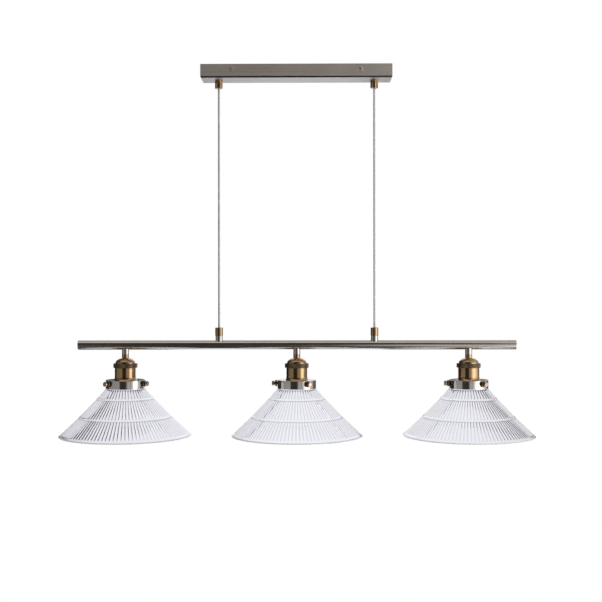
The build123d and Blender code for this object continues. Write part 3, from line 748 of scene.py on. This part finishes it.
    def sheet(self, name, spot, turn, size, unseen):
        """A flat sheet of the studio that some rays pass by, with the node tree of its cloth."""
        begin()
        bpy.ops.mesh.primitive_grid_add(x_subdivisions=2, y_subdivisions=2, size=1, location=spot, rotation=turn)
        sheet = named(name)
        sheet.scale = (*size, 1)
        bpy.ops.object.transform_apply(location=False, rotation=False, scale=True)
        material, tree = new_material(name + "_cloth")
        sheet.data.materials.append(material)
        for ray in unseen:
            setattr(sheet, "visible_" + ray, False)
        return tree

    def glow(self, tree, colour, strength):
        """Let a sheet's cloth give light."""
        light = add(tree, "Emission", {"Color": colour, "Strength": strength})
        add(tree, "OutputMaterial", {"Surface": light})

    def panel(self, name, start, end, heights, tones, levels):
        """An upright panel of soft light between two places on the plan, with its tones along and up it."""
        start, end = Vector(start), Vector(end)
        low, high = heights
        along = end - start
        spot = (*((start + end) / 2), (low + high) / 2)
        turn = (QUARTER, 0, math.atan2(along.y, along.x))
        tree = self.sheet(name, spot, turn, (along.length, high - low), self.PANEL_UNSEEN)
        parts = add(tree, "SeparateXYZ", {"Vector": add(tree, "TexCoord").outputs["Generated"]})
        strength = 1.0
        ramps = []
        for axis, row in (("X", tones), ("Y", levels)):
            peak = max(tone for _, tone in row)
            strength *= peak
            stops = [(at, grey(tone / peak)) for at, tone in row]
            ramps.append(add(tree, "ValToRGB", {"Fac": parts.outputs[axis]}, stops=stops))
        tone = add(tree, "Mix", {0: 1.0, 6: ramps[0], 7: ramps[1]}, data_type="RGBA", blend_type="MULTIPLY")
        self.glow(tree, tone.outputs[2], strength)


class PENDANT_OT_flexes(Operator):
    """Hang the two flexes: twisted cores in a clear sheath"""

    bl_idname = "pendant.flexes"
    bl_label = "Flexes"

    CORE_RADIUS = 0.72
    CORE_OFFSET = 0.8

    def execute(self, context):
        sizes = context.scene.pendant_sizes
        # The right solid runs on further into its grip, and both sheaths end where the left one does.
        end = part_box("flex_left")[0].z
        for side, x in GRIPS.items():
            node = f"flex_{side}"
            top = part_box(node)[1].z
            line = self.line(f"flex_sheath_{side}", x, top, end)
            path = [vertex.co.copy() for vertex in bpy.data.meshes.new_from_object(line).vertices]
            cores = self.cores(f"flex_cores_{side}", path, sizes.core_lay)
            line.data.splines[0].resolution_u = 40
            line.data.bevel_depth = half(node, 0) * MM
            line.data.bevel_resolution = 6
            line.data.use_fill_caps = True
            sheath = self.meshed(line, f"flex_sheath_{side}")
            fit(sheath, node, "clear_pvc")
            clad(cores, "tinned_copper")
            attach(cores, BODY_OF[node])
            for piece in (sheath, cores):
                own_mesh(piece)
        return {"FINISHED"}

    def curve(self, name):
        """A new curve in the scene."""
        made = bpy.data.objects.new(name, bpy.data.curves.new(name, "CURVE"))
        made.data.dimensions = "3D"
        bpy.context.scene.collection.objects.link(made)
        return made

    def meshed(self, curve, name):
        """A curve made a smooth mesh."""
        take(curve)
        bpy.ops.object.convert(target="MESH")
        return smooth(named(name))

    def line(self, name, x, top, end):
        """The taut route as a NURBS line."""
        line = self.curve(name)
        spline = line.data.splines.new("NURBS")
        spline.points.add(2)
        for point, z in zip(spline.points, (top, (top + end) / 2, end)):
            point.co = (x, 0, z, 1)
        spline.order_u = 3
        spline.use_endpoint_u = True
        spline.resolution_u = 400
        return line

    def cores(self, name, path, lay):
        """Two cores twisted round the points of the route."""
        cores = self.curve(name)
        cores.data.bevel_depth = self.CORE_RADIUS * MM
        cores.data.bevel_resolution = 2
        offset = self.CORE_OFFSET * MM
        for number in range(2):
            spline = cores.data.splines.new("POLY")
            spline.points.add(len(path) - 1)
            for point, spot in zip(spline.points, path):
                angle = math.tau * (path[0].z - spot.z) / lay + math.pi * number
                point.co = (spot.x + offset * math.cos(angle), spot.y + offset * math.sin(angle), spot.z, 1)
        return self.meshed(cores, name)


class PENDANT_OT_canopy(Operator):
    """Fold the canopy from brushed sheet"""

    bl_idname = "pendant.canopy"
    bl_label = "Canopy"

    CORNER = 0.6

    def execute(self, context):
        sizes = context.scene.pendant_sizes
        low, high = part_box("canopy_shell")
        begin()
        bpy.ops.mesh.primitive_cube_add(size=1, location=(low + high) / 2, scale=high - low)
        sheet = named("folded_canopy")
        bpy.ops.object.transform_apply(location=True, rotation=False, scale=True)
        clad(sheet, "brushed_nickel_plate", "painted_shade_nickel")
        bpy.ops.object.mode_set(mode="EDIT")
        choose(sheet, lambda spot: spot.z > -MERGE)
        bpy.ops.mesh.delete(type="ONLY_FACE")
        # The bottom folds are rounded and take a painted dark reflection: a thin dark line between the brushed faces.
        choose_edges(sheet, lambda start, end: max(start, end) < low.z + MERGE)
        bpy.ops.mesh.bevel(offset=sizes.canopy_edge, segments=5, affect="EDGES", material=1)
        choose_edges(sheet, lambda start, end: abs(start - end) > 2 * sizes.canopy_edge)
        bpy.ops.mesh.bevel(offset=self.CORNER * MM, segments=3, affect="EDGES")
        modify(sheet, "SOLIDIFY", thickness=sizes.canopy_wall, offset=-1.0)
        for x in GRIPS.values():
            cut(sheet, rod(SPIGOT_HOLE, 8, (x / MM, 0, CANOPY_FLOOR)))
        reach = half("canopy_screws", 0) - CANOPY_SCREW_HEAD
        for x in (-reach, reach):
            cut(sheet, rod(SCREW_HOLE, 70, (x, 0, middle("canopy_screws").z / MM), (QUARTER, 0, 0)))
        fit(smooth(sheet), "canopy_shell")
        return {"FINISHED"}


class PENDANT_OT_canopy_screws(Operator):
    """Turn and slot the screws in the canopy's sides"""

    bl_idname = "pendant.canopy_screws"
    bl_label = "Canopy screws"

    SHANK = 2.0
    TIP = -7.0
    SLOT = (10.0, 1.1, 1.8)
    # Turn of each slot in degrees, by the screw's end of the canopy and the way that it faces.
    SLOT_TURNS = {(-1, 0): -36, (1, 0): -52, (-1, math.pi): 60, (1, math.pi): -10}

    def execute(self, context):
        low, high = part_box("canopy_screws")
        wall = half("canopy_shell", 1) * MM
        rise = high.y / MM - wall / MM
        model = turned("slotted_screw", [
            (0, rise), (CANOPY_SCREW_HEAD, rise), (CANOPY_SCREW_HEAD, 0), (self.SHANK, 0), (self.SHANK, self.TIP),
            (0, self.TIP),
        ], {1: 1.2}, 48, closed=False)
        begin()
        bpy.ops.mesh.primitive_cube_add(size=1, location=(0, 0, rise * MM), scale=Vector(self.SLOT) * MM)
        cutter = named("cutter")
        # The slots' faces take painted shade: dark nickel inside each slot.
        clad(cutter, "painted_shade_nickel")
        clad(model, "brushed_nickel_plate")
        cut(model, cutter)
        smooth(model)
        z = (low.z + high.z) / 2
        made = []
        for (end, facing), slot in self.SLOT_TURNS.items():
            screw = place(copied(model, "screw"), turn=(0, 0, math.radians(slot)))
            x = end * (high.x - CANOPY_SCREW_HEAD * MM)
            made.append(place(screw, (QUARTER, 0, facing), (x, -wall * math.cos(facing), z)))
        discard(model)
        fit(joined(made, "canopy_side_screws"), "canopy_screws")
        return {"FINISHED"}


class PENDANT_OT_grips(Operator):
    """Turn the brass grips under the canopy and on the bar"""

    bl_idname = "pendant.grips"
    bl_label = "Cord grips"

    MOUTH = 4.2
    TAPER = 4.5
    # Bore for an upper grip's collet, and how far behind the mouth it and the sleeve's socket start.
    COLLET_BORE = 3.4
    COLLET_DEPTH = 9.4
    SOCKET_DEPTH = 8.5

    def execute(self, context):
        top, mouth = head("upper_gland_left"), foot("upper_gland_left")
        radius = half("upper_gland_left", 0)
        seat = mouth + self.COLLET_DEPTH
        grip = turned("grip", [
            (self.COLLET_BORE, top), (SPIGOT, top), (SPIGOT, CANOPY_FLOOR), (radius, CANOPY_FLOOR), (radius, mouth),
            (self.MOUTH, mouth), (FLEX_BORE, mouth + self.TAPER), (FLEX_BORE, seat), (self.COLLET_BORE, seat),
        ], {3: 0.4, 4: 1.0, 5: 0.5})
        fit_copies(smooth(grip), "canopy_grip", GRIPS, "upper_gland", "waxed_brass")

        top = head("bar_gland_sleeve_left")
        radius = half("bar_gland_sleeve_left", 0)
        seat = top - self.SOCKET_DEPTH
        sleeve = turned("sleeve", [
            (self.MOUTH, top), (radius, top), (radius, SLEEVE_FOOT), (SPIGOT_HOLE, SLEEVE_FOOT), (SPIGOT_HOLE, seat),
            (FLEX_BORE, seat), (FLEX_BORE, top - self.TAPER),
        ], {0: 0.5, 1: 1.0, 2: 0.4})
        fit_copies(smooth(sleeve), "grip_sleeve", GRIPS, "bar_gland_sleeve", "waxed_brass")

        top = head("bar_gland_base_left")
        radius = half("bar_gland_base_left", 0)
        base = turned("base", [
            (FLEX_BORE, top), (SPIGOT, top), (SPIGOT, SLEEVE_FOOT), (radius, SLEEVE_FOOT), (radius, BAR_AXIS),
            (FLEX_BORE, BAR_AXIS),
        ], {3: 0.4})
        cut_saddle(base)
        fit_copies(smooth(base), "grip_base", GRIPS, "bar_gland_base", "buffed_nickel_plate")
        return {"FINISHED"}


class PENDANT_OT_bar(Operator):
    """Draw the bar, drill it and cap its ends"""

    bl_idname = "pendant.bar"
    bl_label = "Bar"

    WALL = 1.2
    PLUG = 8.0
    STEPS = 128
    HOLE_MARGIN = 6.2

    def execute(self, context):
        bore = BAR_RADIUS - self.WALL
        tube = turned("drawn_bar", [
            (bore, -TUBE_END), (BAR_RADIUS, -TUBE_END), (BAR_RADIUS, TUBE_END), (bore, TUBE_END),
        ], steps=self.STEPS)
        place(tube, (0, QUARTER, 0), (0, 0, BAR_AXIS * MM))
        holes = [(x / MM, 1) for x in GRIPS.values()] + [(x / MM, -1) for x in LAMPS.values()]
        # Cuts round the bar beside each hole keep the hole's faces short and the rest of the tube even.
        bpy.ops.object.mode_set(mode="EDIT")
        for x, _ in holes:
            for edge in (x - self.HOLE_MARGIN, x + self.HOLE_MARGIN):
                bpy.ops.mesh.select_all(action="SELECT")
                bpy.ops.mesh.bisect(plane_co=(edge * MM, 0, 0), plane_no=(1, 0, 0))
        bpy.ops.object.mode_set(mode="OBJECT")
        for x, way in holes:
            cut(tube, rod(SPIGOT_HOLE, BAR_RADIUS, (x, 0, BAR_AXIS + way * BAR_RADIUS)))
        fit(smooth(tube), "bar_tube", "satin_nickel_tube")

        plug = bore - SLIP
        cap = turned("cap", [
            (0, TUBE_END - self.PLUG), (plug, TUBE_END - self.PLUG), (plug, TUBE_END), (BAR_RADIUS, TUBE_END),
            (BAR_RADIUS, BAR_END), (0, BAR_END),
        ], {4: 0.6}, self.STEPS, closed=False)
        smooth(cap)
        for side, turn in {"left": -QUARTER, "right": QUARTER}.items():
            piece = place(copied(cap, f"bar_cap_{side}"), (0, turn, 0), (0, 0, BAR_AXIS * MM))
            fit(piece, f"bar_end_cap_{side}", "satin_nickel_tube")
        discard(cap)
        return {"FINISHED"}


class PENDANT_OT_lampholders(Operator):
    """Turn the stems, domed caps, knurled rings and flared bodies"""

    bl_idname = "pendant.lampholders"
    bl_label = "Lampholders"

    STEPS = 128
    DOME_RISE = 11.4
    RING_SLIP = 0.1
    # Width and height of a ring's bevels.
    BEVEL = (0.7, 0.8)
    # How far the body stands out past the cap, and its foot out past the body over the flare's height.
    STEP_OUT = 1.0
    FLARE_REACH = 2.25
    FLARE_HEIGHT = 6.1
    FOOT_BORE = 15.85

    def execute(self, context):
        sizes = context.scene.pendant_sizes
        end = foot("stem_centre")
        stem = turned("stem", [
            (FLEX_BORE, BAR_AXIS), (STEM_RADIUS, BAR_AXIS), (STEM_RADIUS, CAP_HEAD), (SPIGOT, CAP_HEAD), (SPIGOT, end),
            (FLEX_BORE, end),
        ])
        cut_saddle(stem)
        fit_copies(smooth(stem), "stem_tube", LAMPS, "stem", "buffed_nickel_plate")

        outer = self.dome(CAP_RADIUS, self.DOME_RISE, STEM_RADIUS)
        inner = self.dome(HOLDER_BORE, self.DOME_RISE - HOLDER_WALL, SPIGOT_HOLE)
        cap = turned("dome", [
            (SPIGOT_HOLE, CAP_HEAD), (STEM_RADIUS, CAP_HEAD), *outer, (CAP_RADIUS, RING_MIDDLE),
            (HOLDER_BORE, RING_MIDDLE), *reversed(inner),
        ], {1: 0.3}, self.STEPS)
        fit_copies(smooth(cap), "domed_cap", LAMPS, "lampholder_cap", "waxed_brass")

        bore = CAP_RADIUS + self.RING_SLIP
        wide, high = self.BEVEL
        ring = turned("ring", [
            (bore, RING_HEAD), (RING_RADIUS - wide, RING_HEAD), (RING_RADIUS, RING_HEAD - high),
            (RING_RADIUS, RING_FOOT + high), (RING_RADIUS - wide, RING_FOOT), (bore, RING_FOOT),
        ], steps=4 * sizes.knurls)
        knurl(ring, sizes.knurls, RING_RADIUS, sizes.knurl_depth / MM)
        fit_copies(ring, "knurled_ring", LAMPS, "lampholder_ring", "darkened_bronze")

        wide = CAP_RADIUS + self.STEP_OUT
        body = turned("body", [
            (CAP_RADIUS, RING_FOOT), (wide, RING_FOOT), *self.flare(wide), (HOLDER_THREAD, GALLERY_HEAD),
            (HOLDER_THREAD, BODY_FOOT), (self.FOOT_BORE, BODY_FOOT), (self.FOOT_BORE, SOCKET_FOOT),
            (HOLDER_BORE, SOCKET_FOOT), (HOLDER_BORE, RING_MIDDLE), (CAP_RADIUS, RING_MIDDLE),
        ], {1: 0.3}, self.STEPS)
        fit_copies(smooth(body), "flared_body", LAMPS, "lampholder_body", "waxed_brass")
        return {"FINISHED"}

    def dome(self, radius, rise, neck):
        """Points down an elliptical dome from its neck to its rim."""
        start = math.acos(neck / radius)
        angles = [start * (1 - n / 14) for n in range(15)]
        return [(radius * math.cos(angle), RING_HEAD + rise * math.sin(angle)) for angle in angles]

    def flare(self, radius):
        """Points down an arc that leaves the body upright and runs out to its foot."""
        bend = (self.FLARE_REACH ** 2 + self.FLARE_HEIGHT ** 2) / (2 * self.FLARE_REACH)
        sweep = math.asin(self.FLARE_HEIGHT / bend)
        top = GALLERY_HEAD + self.FLARE_HEIGHT
        angles = [sweep * n / 8 for n in range(9)]
        return [(radius + bend * (1 - math.cos(angle)), top - bend * math.sin(angle)) for angle in angles]


class PENDANT_OT_sockets(Operator):
    """Make the porcelain cups, rolled thread shells and shade rings inside the lampholders"""

    bl_idname = "pendant.sockets"
    bl_label = "Sockets"

    WIRE_HOLE = 1.6
    CUP_WALL = 3.4
    CUP_FLOOR = 5.0
    THREAD_CREST = 12.4
    THREAD_ROOT = 13.5
    THREAD_SHEET = 0.35
    RING_KNURLS = 40
    RING_KNURL_DEPTH = 0.4

    def execute(self, context):
        sizes = context.scene.pendant_sizes
        top, end = head("socket_insulator_centre"), foot("socket_insulator_centre")
        radius = half("socket_insulator_centre", 0)
        bore, floor = radius - self.CUP_WALL, top - self.CUP_FLOOR
        cup = turned("cup", [
            (self.WIRE_HOLE, top), (radius, top), (radius, end), (bore, end), (bore, floor), (self.WIRE_HOLE, floor),
        ], {1: 0.5, 2: 0.8, 3: 0.8})
        fit_copies(smooth(cup), "porcelain_cup", LAMPS, "socket_insulator", "glazed_porcelain")

        shell = self.thread(sizes.thread_pitch)
        fit_copies(smooth(shell, 40), "thread_shell", LAMPS, "socket_shell", "drawn_brass")

        top, end = head("gallery_clamp_rings"), foot("gallery_clamp_rings")
        wide = half("gallery_clamp_rings", 1)
        ring = turned("ring", [
            (THREAD_HOLE, top), (wide, top), (wide, end), (THREAD_HOLE, end),
        ], {1: 0.4, 2: 0.4, 3: 0.4}, 4 * self.RING_KNURLS)
        knurl(ring, self.RING_KNURLS, wide, self.RING_KNURL_DEPTH)
        rings = list(spread(ring, "shade_ring", LAMPS).values())
        fit(joined(rings, "shade_rings"), "gallery_clamp_rings", "zinc_plate")
        return {"FINISHED"}

    def thread(self, pitch):
        """A brass tube with a rolled round thread, trimmed to the socket's length."""
        centre = (self.THREAD_ROOT + self.THREAD_CREST) / 2 * MM
        swing = (self.THREAD_ROOT - self.THREAD_CREST) / 2 * MM
        start = SOCKET_FOOT * MM - pitch
        shell = drawn("thread", [
            Vector((centre + swing * math.cos(math.tau * n / 10), 0, start + pitch * n / 10)) for n in range(11)
        ])
        turns = math.ceil((SOCKET_HEAD - SOCKET_FOOT) * MM / pitch) + 2
        modify(
            shell, "SCREW", axis="Z", angle=math.tau, screw_offset=pitch, iterations=turns, steps=48, render_steps=48,
            use_merge_vertices=True,
        )
        bpy.ops.object.mode_set(mode="EDIT")
        tidy_mesh()
        for height, way in ((SOCKET_HEAD, 1), (SOCKET_FOOT, -1)):
            bpy.ops.mesh.select_all(action="SELECT")
            bpy.ops.mesh.bisect(plane_co=(0, 0, height * MM), plane_no=(0, 0, way), clear_outer=True)
        modify(shell, "SOLIDIFY", thickness=self.THREAD_SHEET * MM, offset=0.0)
        return shell


class PENDANT_OT_galleries(Operator):
    """Spin the gallery cups and drill them for their thumb screws"""

    bl_idname = "pendant.galleries"
    bl_label = "Galleries"

    WALL = 1.0

    def execute(self, context):
        bore, roof = GALLERY_RADIUS - self.WALL, GALLERY_HEAD - self.WALL
        model = turned("cup", [
            (THREAD_HOLE, GALLERY_HEAD), (GALLERY_RADIUS, GALLERY_HEAD), (GALLERY_RADIUS, GALLERY_FOOT),
            (bore, GALLERY_FOOT), (bore, roof), (THREAD_HOLE, roof),
        ], {1: 0.9, 2: 0.3}, 144)
        for lamp, cup in spread(model, "gallery_cup", LAMPS).items():
            for _, out, turn in thumb_screw_ways(lamp):
                spot = Vector((LAMPS[lamp] / MM, 0, THUMB_SCREW_HEIGHT)) + out * (GALLERY_RADIUS - self.WALL / 2)
                cut(cup, rod(SCREW_HOLE, 4, spot, turn))
            fit(smooth(cup), f"gallery_{lamp}", "buffed_nickel_plate")
        return {"FINISHED"}


class PENDANT_OT_thumb_screws(Operator):
    """Turn the thumb screws that hold the shades"""

    bl_idname = "pendant.thumb_screws"
    bl_label = "Thumb screws"

    # Tip, collar and knob of a screw, as (radius, distance from the lamp's axis), and where the knob starts.
    OUTLINE = [
        (0, 32.9), (2, 32.9), (2, 37.4), (6, 37.4), (6, 41.4), (3, 41.4), (3, 42.4), (4.8, 42.4), (4.8, 47.6),
        (0, 47.6),
    ]
    ROUNDS = {1: 0.5, 3: 1.1, 4: 1.1, 7: 1.3, 8: 1.7}
    KNOB = 42.2

    def execute(self, context):
        model = turned("thumb", self.OUTLINE, self.ROUNDS, 64, closed=False)
        smooth(model)
        clad(model, "darkened_bronze", "aged_copper")
        for face in model.data.polygons:
            face.material_index = int(face.center.z > self.KNOB * MM)
        for lamp, x in LAMPS.items():
            for number, _, turn in thumb_screw_ways(lamp):
                screw = copied(model, f"thumb_screw_{lamp}_{number}")
                place(screw, turn, (x, 0, THUMB_SCREW_HEIGHT * MM))
                fit(screw, f"gallery_screw_{lamp}_{number}")
        discard(model)
        return {"FINISHED"}


class PENDANT_OT_shades(Operator):
    """Press the fluted glass shades"""

    bl_idname = "pendant.shades"
    bl_label = "Shades"

    # Outer line of the glass from the shoulder to the rim, as (radius, drop below the shoulder).
    LINE = [(36.5, 0.0), (52.4, 18.3), (85.7, 52.9), (125.0, 90.3)]
    STEPS = 240
    LIP = 34.8
    LIP_HEIGHT = 2.0
    NECK = 32.6
    NECK_BORE = 28.6
    THICKNESS = 5.2
    BAND = 2.6
    MARGIN = 5.0
    COLLAR = 1.0
    RIDGE_INSET = 0.3
    # Share of the flute's depth at each of eight steps from one valley to the next.
    ROUND_RIDGE = [0.0, 0.62, 0.86, 0.97, 1.0, 0.97, 0.86, 0.62]
    # Rings at a flute's ends: how many run-outs from the band above or below, share of the depth, and painted shadow.
    UPPER_ENDS = [(0.2, 0.3, 1.0), (1.6, 0.9, 1.0), (2.2, 1.0, 0.0)]
    LOWER_ENDS = [(1.0, 1.0, 0.0), (0.2, 0.4, 0.0)]
    # Painted shade on the top zone's flutes, under the gallery.
    FIRST_ZONE_PAINTED_SHADE = 0.5
    GROUND_EDGE = 0.4

    def execute(self, context):
        sizes = context.scene.pendant_sizes
        self.rings = []
        self.painted_shadows = {}
        self.shoulder = SHADE_FOOT + self.LINE[-1][1]
        # The rings are laid in millimetres and brought to metres at the end: bridging takes close rings for one.
        begin()
        bpy.ops.mesh.primitive_circle_add(
            vertices=self.STEPS, radius=self.NECK_BORE, location=(0, 0, SHADE_HEAD), fill_type="NOTHING"
        )
        shade = named("shade")
        bpy.ops.object.transform_apply(location=True, rotation=False, scale=False)
        bpy.ops.object.mode_set(mode="EDIT")
        bpy.ops.mesh.select_mode(type="VERT")
        self.rings.append((0, self.STEPS))
        lip_foot = SHADE_HEAD - self.LIP_HEIGHT
        shoulder_edge = self.LINE[0][0]
        for radius, z in (
            (self.LIP - 0.3, SHADE_HEAD - 0.02), (self.LIP, SHADE_HEAD - 0.3), (self.LIP, lip_foot + 0.02),
            (self.NECK, lip_foot), (self.NECK, self.shoulder + 0.02), (shoulder_edge - 0.3, self.shoulder),
            (shoulder_edge, self.shoulder - 0.3),
        ):
            self.circle(shade, radius, z)
        for zone in range(3):
            self.zone(shade, zone, sizes)
        rim = self.LINE[-1][0]
        inner = rim - self.THICKNESS
        for radius, z in (
            (self.radius_at(SHADE_FOOT + 1.2), SHADE_FOOT + 1.2), (rim - 0.1, SHADE_FOOT + 0.5),
            (rim - 0.7, SHADE_FOOT), (inner + 0.7, SHADE_FOOT + 0.02), (inner + 0.1, SHADE_FOOT + 0.5),
        ):
            self.circle(shade, radius, z)
        for radius, drop in reversed(self.LINE[1:3]):
            self.circle(shade, radius - self.THICKNESS, self.shoulder - drop)
        self.circle(shade, self.NECK_BORE, self.shoulder)
        for (start, count), (after, next_count) in zip(self.rings, self.rings[1:] + self.rings[:1]):
            self.select(shade, [*range(start, start + count), *range(after, after + next_count)])
            bpy.ops.mesh.bridge_edge_loops()
        bpy.ops.mesh.select_all(action="SELECT")
        bpy.ops.mesh.normals_make_consistent(inside=False)
        bpy.ops.transform.resize(value=(MM, MM, MM), center_override=(0, 0, 0))
        bpy.ops.object.mode_set(mode="OBJECT")
        # Painted shade on the flutes' valleys and under the bands.
        self.paint_valley_shade(shade)
        clad(shade, "pressed_soda_glass", "ground_glass")
        # The rim is ground flat to stand on.
        for face in shade.data.polygons:
            face.material_index = int(face.center.z < (SHADE_FOOT + self.GROUND_EDGE) * MM)
        take(shade)
        bpy.ops.object.shade_smooth_by_angle(angle=math.radians(38))
        fit_copies(shade, "fluted_shade", LAMPS, "glass_shade")
        return {"FINISHED"}

    def radius_at(self, z):
        """Radius of the outer line at a height."""
        drop = self.shoulder - z
        for (near, start), (far, end) in zip(self.LINE, self.LINE[1:]):
            if drop <= end:
                return near + (far - near) * (drop - start) / (end - start)
        return self.LINE[-1][0]

    def circle(self, shade, radius, z, count=STEPS):
        """Add a smooth ring of vertices, and leave it selected."""
        start = len(bmesh.from_edit_mesh(shade.data).verts)
        bpy.ops.mesh.primitive_circle_add(vertices=count, radius=radius, location=(0, 0, z), fill_type="NOTHING")
        self.rings.append((start, count))

    def select(self, shade, numbers):
        """Select the numbered vertices, and nothing else."""
        bpy.ops.mesh.select_all(action="DESELECT")
        mesh = bmesh.from_edit_mesh(shade.data)
        mesh.verts.ensure_lookup_table()
        for number in numbers:
            mesh.verts[number].select = True
        mesh.select_flush_mode()
        bmesh.update_edit_mesh(shade.data)

    def zone(self, shade, zone, sizes):
        """The rings of one fluted zone, after the smooth band above it."""
        upper = self.shoulder - self.LINE[zone][1] - (self.BAND / 2 if zone else self.COLLAR)
        lower = self.shoulder - self.LINE[zone + 1][1] + (self.BAND / 2 if zone < 2 else self.MARGIN)
        depth = sizes.flute_depth / MM
        run = sizes.flute_end / MM
        if zone:
            self.band(shade, zone, sizes.band_rise / MM)
        self.circle(shade, self.radius_at(upper), upper)
        ends = [(upper - runs * run, share, shadow) for runs, share, shadow in self.UPPER_ENDS]
        ends += [(lower + runs * run, share, shadow) for runs, share, shadow in self.LOWER_ENDS]
        for z, share, shadow in ends:
            self.fluted(shade, z, sizes.flutes[zone], depth * share)
            # Painted shadow for this ring, never lighter than the top zone's painted shade.
            self.painted_shadows[self.rings[-1][0]] = shadow if zone else max(shadow, self.FIRST_ZONE_PAINTED_SHADE)
        self.circle(shade, self.radius_at(lower), lower)

    def band(self, shade, zone, rise):
        """A smooth rounded band between two zones."""
        level = self.shoulder - self.LINE[zone][1]
        for step in (-0.7, 0.0, 0.7):
            z = level - step * self.BAND / 2
            self.circle(shade, self.radius_at(z) + rise * math.sqrt(1 - step * step), z)

    def fluted(self, shade, z, flutes, depth):
        """Add a ring whose vertices rise and fall from valley to ridge."""
        steps = len(self.ROUND_RIDGE)
        ridge = self.radius_at(z) - self.RIDGE_INSET
        self.circle(shade, ridge, z, steps * flutes)
        start, count = self.rings[-1]
        for step, share in enumerate(self.ROUND_RIDGE):
            if share < 1.0:
                self.select(shade, range(start + step, start + count, steps))
                size = 1 - depth * (1 - share) / ridge
                bpy.ops.transform.resize(value=(size, size, 1), center_override=(0, 0, z))

    def paint_valley_shade(self, shade):
        """Write painted shade on each vertex for the glass to read: deeper in a valley and in the painted shadow under
        a band.
        """
        marks = shade.data.attributes.new("painted_shade", "FLOAT", "POINT")
        for start, count in self.rings:
            if start not in self.painted_shadows:
                continue
            for number in range(count):
                painted_shade = 1 - self.ROUND_RIDGE[number % len(self.ROUND_RIDGE)]
                marks.data[start + number].value = max(painted_shade, self.painted_shadows[start])


class PENDANT_OT_inner_fittings(Operator):
    """Dress the solids inside the canopy, the bar and the lampholders"""

    bl_idname = "pendant.inner_fittings"
    bl_label = "Inner fittings"

    FINISHES = {
        "zinc_steel": "zinc_plate", "nylon": "moulded_nylon", "bright_brass": "drawn_brass", "flex_sheath": "flex_pvc",
    }

    def execute(self, context):
        for node, solid in frame["nodes"].items():
            if not solid.hide_render:
                clad(solid, self.FINISHES[SLOT_OF[node]])
        return {"FINISHED"}


class PENDANT_PT_panel(Panel):
    """Lists the pieces of the light and its settings"""

    bl_idname = "PENDANT_PT_panel"
    bl_label = "Bar pendant light"
    bl_space_type = "VIEW_3D"
    bl_region_type = "UI"
    bl_category = "Pendant"

    def draw(self, context):
        for kind in OPERATORS:
            self.layout.operator(kind.bl_idname)
        for group in (context.scene.pendant_sizes, context.scene.pendant_finishes, context.scene.pendant_stage):
            box = self.layout.box()
            for key in group.__annotations__:
                box.prop(group, key)


GROUPS = {"pendant_sizes": PendantSizes, "pendant_finishes": PendantFinishes, "pendant_stage": PendantStage}
OPERATORS = (
    PENDANT_OT_stage,
    PENDANT_OT_flexes,
    PENDANT_OT_canopy,
    PENDANT_OT_canopy_screws,
    PENDANT_OT_grips,
    PENDANT_OT_bar,
    PENDANT_OT_lampholders,
    PENDANT_OT_sockets,
    PENDANT_OT_galleries,
    PENDANT_OT_thumb_screws,
    PENDANT_OT_shades,
    PENDANT_OT_inner_fittings,
)


def register():
    for name, group in GROUPS.items():
        bpy.utils.register_class(group)
        setattr(bpy.types.Scene, name, PointerProperty(type=group))
    for kind in OPERATORS + (PENDANT_PT_panel,):
        bpy.utils.register_class(kind)


def unregister():
    for kind in reversed(OPERATORS + (PENDANT_PT_panel,)):
        bpy.utils.unregister_class(kind)
    for name, group in GROUPS.items():
        delattr(bpy.types.Scene, name)
        bpy.utils.unregister_class(group)


def main():
    register()
    for kind in OPERATORS:
        name = kind.bl_idname.split(".")[1]
        getattr(bpy.ops.pendant, name)()


if __name__ == "__main__":
    main()
